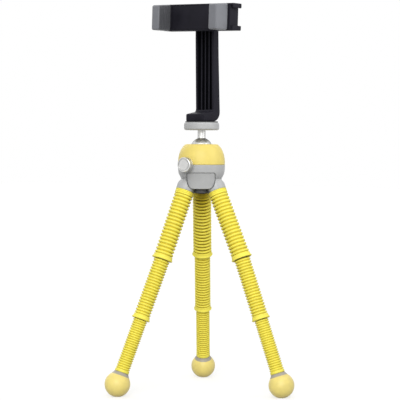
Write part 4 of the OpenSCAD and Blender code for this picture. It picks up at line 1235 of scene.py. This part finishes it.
def boot(name, x_low, inner_x):
    """A jaw's rubber boot, with grip lines on the side that is given by its X."""
    front, back = CLAMP_T + JAW_REACH, CLAMP_T + 0.02
    piece = clamp_block(name, x_low, x_low + JAW_W, front, back, CLAMP_H)
    drop_front_top(piece)
    soften(piece, BOOT_ROUND, 5, 40)
    spacing = (JAW_REACH - 3.4) / (GRIP_LINES - 1)
    for i in range(GRIP_LINES):
        middle = back + GRIP_MARGIN + i * spacing
        cut(piece, clamp_block("line", inner_x - GRIP_DEPTH, inner_x + GRIP_DEPTH, middle + GRIP_HALF_W,
                               middle - GRIP_HALF_W, CLAMP_H + 2))
    cut(piece, clamp_block("inside", x_low + JAW_RUBBER, x_low + JAW_W - JAW_RUBBER, front - JAW_RUBBER,
                           back - THROUGH, CLAMP_H - 2 * JAW_RUBBER))
    # The gripping face is marked for painted shade, which makes it darker than the rest of the boot.
    set_value(piece, GRIP_SHADE_MARK, lambda point: float(abs(point.x / MM - inner_x) < GRIP_EDGE))
    return settle(piece, clamp_place)


left_jaw_x = -HALF_GAP - JAW_W
finish(boot("fixed_jaw_boot", HALF_GAP, HALF_GAP), "clamp", "grey_rubber", "fixed_jaw_pad")
finish(boot("sliding_jaw_boot", left_jaw_x, -HALF_GAP), "jaw", "grey_rubber", "sliding_jaw_pad")

# %% [markdown]
# Behind its boot the left jaw is a black block that closes the end of the case when the clamp is shut. It rides
# on its own body and leaves the two rods to be seen when it is pulled out.

# %% Sliding jaw
jaw = clamp_block("sliding_jaw_core", left_jaw_x, -HALF_GAP, CLAMP_T, 0, CLAMP_H)
soften(jaw, 0.7, 3, 40)
join_jaw_core(jaw, left_jaw_x)
finish(settle(jaw, clamp_place), "jaw", "black_plastic", "sliding_jaw")

# %% [markdown]
# The bolt joins the arm's round end to the clamp, and its head shows from behind. It turns with the clamp, so it
# rides there. The same screw function makes it, with larger numbers.

# %% Pivot bolt
BOLT_HEAD_H = 2.4
bolt_place = clamp_place @ facing_front(0, 1 + ARM_TOP_T + BOLT_HEAD_H - BOLT_SEAT)
finish(screw("pivot_bolt_head", bolt_place, 4.5, BOLT_HEAD_H, 2.5, 18, 2.0), "clamp", "steel", "pivot_bolt")

# %% [markdown]
# ## What stays from the engineering model
#
# The springs, rods and nuts are simple machined parts whose shape is already right. They keep their meshes and
# only change their finish. The plate under the hub lies in the deepest shade, so it is darker.

# %% Carried-over parts
IN_SHADE = {"base_plate": "core_plastic"}
for name, node in nodes.items():
    node.data.materials.clear()
    node.data.materials.append(MATERIALS[IN_SHADE.get(name, SLOT_OF[name])])
print(len(nodes), "parts have a finish")

# %% [markdown]
# ## Floor, light and camera
#
# The photograph is a plain product shot: white background, light from all around with a soft lamp above, and a
# long lens at the height of the ball head. The floor is pale, and a glow that only the camera and reflections
# see lifts it to white, while its shadow stays.

# %% Floor
FLOOR_SIZE = 12.0
FLOOR_WHITE, FLOOR_GLOW = (0.4, 0.4, 0.4, 1), 0.65


def maths(tree, operation, first, second):
    """The result of an operation on two sockets, or on a socket and a number."""
    node = add_node(tree, "Math")
    node.operation = operation
    tree.links.new(first, node.inputs[0])
    if isinstance(second, float):
        node.inputs[1].default_value = second
    else:
        tree.links.new(second, node.inputs[1])
    return node.outputs["Value"]


def seen_directly(tree):
    """1 for rays from the camera and from reflections, with the node that knows all rays."""
    rays = add_node(tree, "LightPath").outputs
    return maths(tree, "MAXIMUM", rays["Is Camera Ray"], rays["Is Glossy Ray"]), rays


clear_selection()
bpy.ops.mesh.primitive_plane_add(size=FLOOR_SIZE)
floor = bpy.context.object
floor.name = "floor"
floor_material, tree, shader = start_material("floor_paper")
set_sockets(shader, Base_Color=FLOOR_WHITE, Roughness=0.9, Specular_IOR_Level=0.1)
glow, together = add_node(tree, "Emission"), add_node(tree, "AddShader")
tree.links.new(maths(tree, "MULTIPLY", seen_directly(tree)[0], FLOOR_GLOW), glow.inputs["Strength"])
tree.links.new(shader.outputs["BSDF"], together.inputs[0])
tree.links.new(glow.outputs["Emission"], together.inputs[1])
tree.links.new(together.outputs["Shader"], tree.nodes["Material Output"].inputs["Surface"])
floor.data.materials.append(floor_material)
print("floor", FLOOR_SIZE, "m wide")

# %% [markdown]
# The room is an even glow all around. It is white where the camera, a reflection or clear plastic sees it, and
# dimmer where it lights the object, so that the lamps are left to shape the form.

# %% World
ROOM_LIGHT = 0.5
world = bpy.data.worlds.new("studio")
bpy.context.scene.world = world
world.use_nodes = True
tree = world.node_tree
background = tree.nodes["Background"]
set_sockets(background, Color=(*WHITE, 1))
seen, rays = seen_directly(tree)
level = add_node(tree, "MapRange", To_Min=ROOM_LIGHT, To_Max=1.0)
tree.links.new(maths(tree, "MAXIMUM", seen, rays["Is Transmission Ray"]), level.inputs["Value"])
tree.links.new(level.outputs["Result"], background.inputs["Strength"])
print("room light", ROOM_LIGHT)

# %% [markdown]
# One wide lamp stands in front and above, a weaker one behind, and a small strip beside the clamp picks out the
# side of the right jaw. Suns are used for the first two, because their light is the same on the head and on the
# feet. Places are given as the photographer sees them, so that a lamp on the left is a negative number.

# %% Lamps
CAMERA_TURN = math.radians(41)
STRIP_H = 0.33
camera_right = Vector((math.cos(CAMERA_TURN), math.sin(CAMERA_TURN), 0))
camera_back = Vector((math.sin(CAMERA_TURN), -math.cos(CAMERA_TURN), 0))
head_axis = Vector((ball_centre.x, ball_centre.y, 0))


def studio_place(right, back, height):
    """A place given as the photographer sees it, from the head's axis, in metres."""
    return head_axis + camera_right * right + camera_back * back + UP * height


def lamp(name, kind, place, power, aim_height=0.0):
    """A lamp that looks at a height on the head's axis."""
    clear_selection()
    bpy.ops.object.light_add(type=kind, location=place)
    light = bpy.context.object
    light.name = name
    light.data.energy = power
    light.rotation_euler = (studio_place(0, 0, aim_height) - place).to_track_quat("-Z", "Y").to_euler()
    return light


lamp("soft_key", "SUN", studio_place(-0.1, 1.0, 0.52), 1.86).data.angle = math.radians(45)
lamp("soft_back", "SUN", studio_place(-0.3, -1.0, 0.8), 0.6).data.angle = math.radians(60)
strip = lamp("strip_beside_the_clamp", "AREA", studio_place(0.20, 0.10, STRIP_H), 0.17, STRIP_H)
strip.data.shape = "RECTANGLE"
strip.data.size, strip.data.size_y = 0.10, 0.20
strip.visible_camera = False

# %% [markdown]
# The camera's place was found by matching the feet, the collars and the plate with the photograph. It stands far
# away with a long lens, so the legs hardly shrink with distance.

# %% Camera
FOCAL_PIXELS, PICTURE_PIXELS, SENSOR = 1595.5, 400, 36.0
CAMERA_SIDE, CAMERA_DISTANCE, CAMERA_HEIGHT = -0.001306, 1.3638, 0.20657
CAMERA_DIP, CAMERA_ROLL = math.radians(1.8256), math.radians(-0.2)
clear_selection()
bpy.ops.object.camera_add(location=studio_place(CAMERA_SIDE, CAMERA_DISTANCE, CAMERA_HEIGHT),
                          rotation=(math.pi / 2 - CAMERA_DIP, CAMERA_ROLL, CAMERA_TURN))
camera = bpy.context.object
camera.name = "camera"
camera.data.sensor_width = SENSOR
camera.data.lens = FOCAL_PIXELS / PICTURE_PIXELS * SENSOR
bpy.context.scene.camera = camera
bpy.context.scene.view_settings.view_transform = "Standard"
print("lens", round(camera.data.lens, 1), "mm")
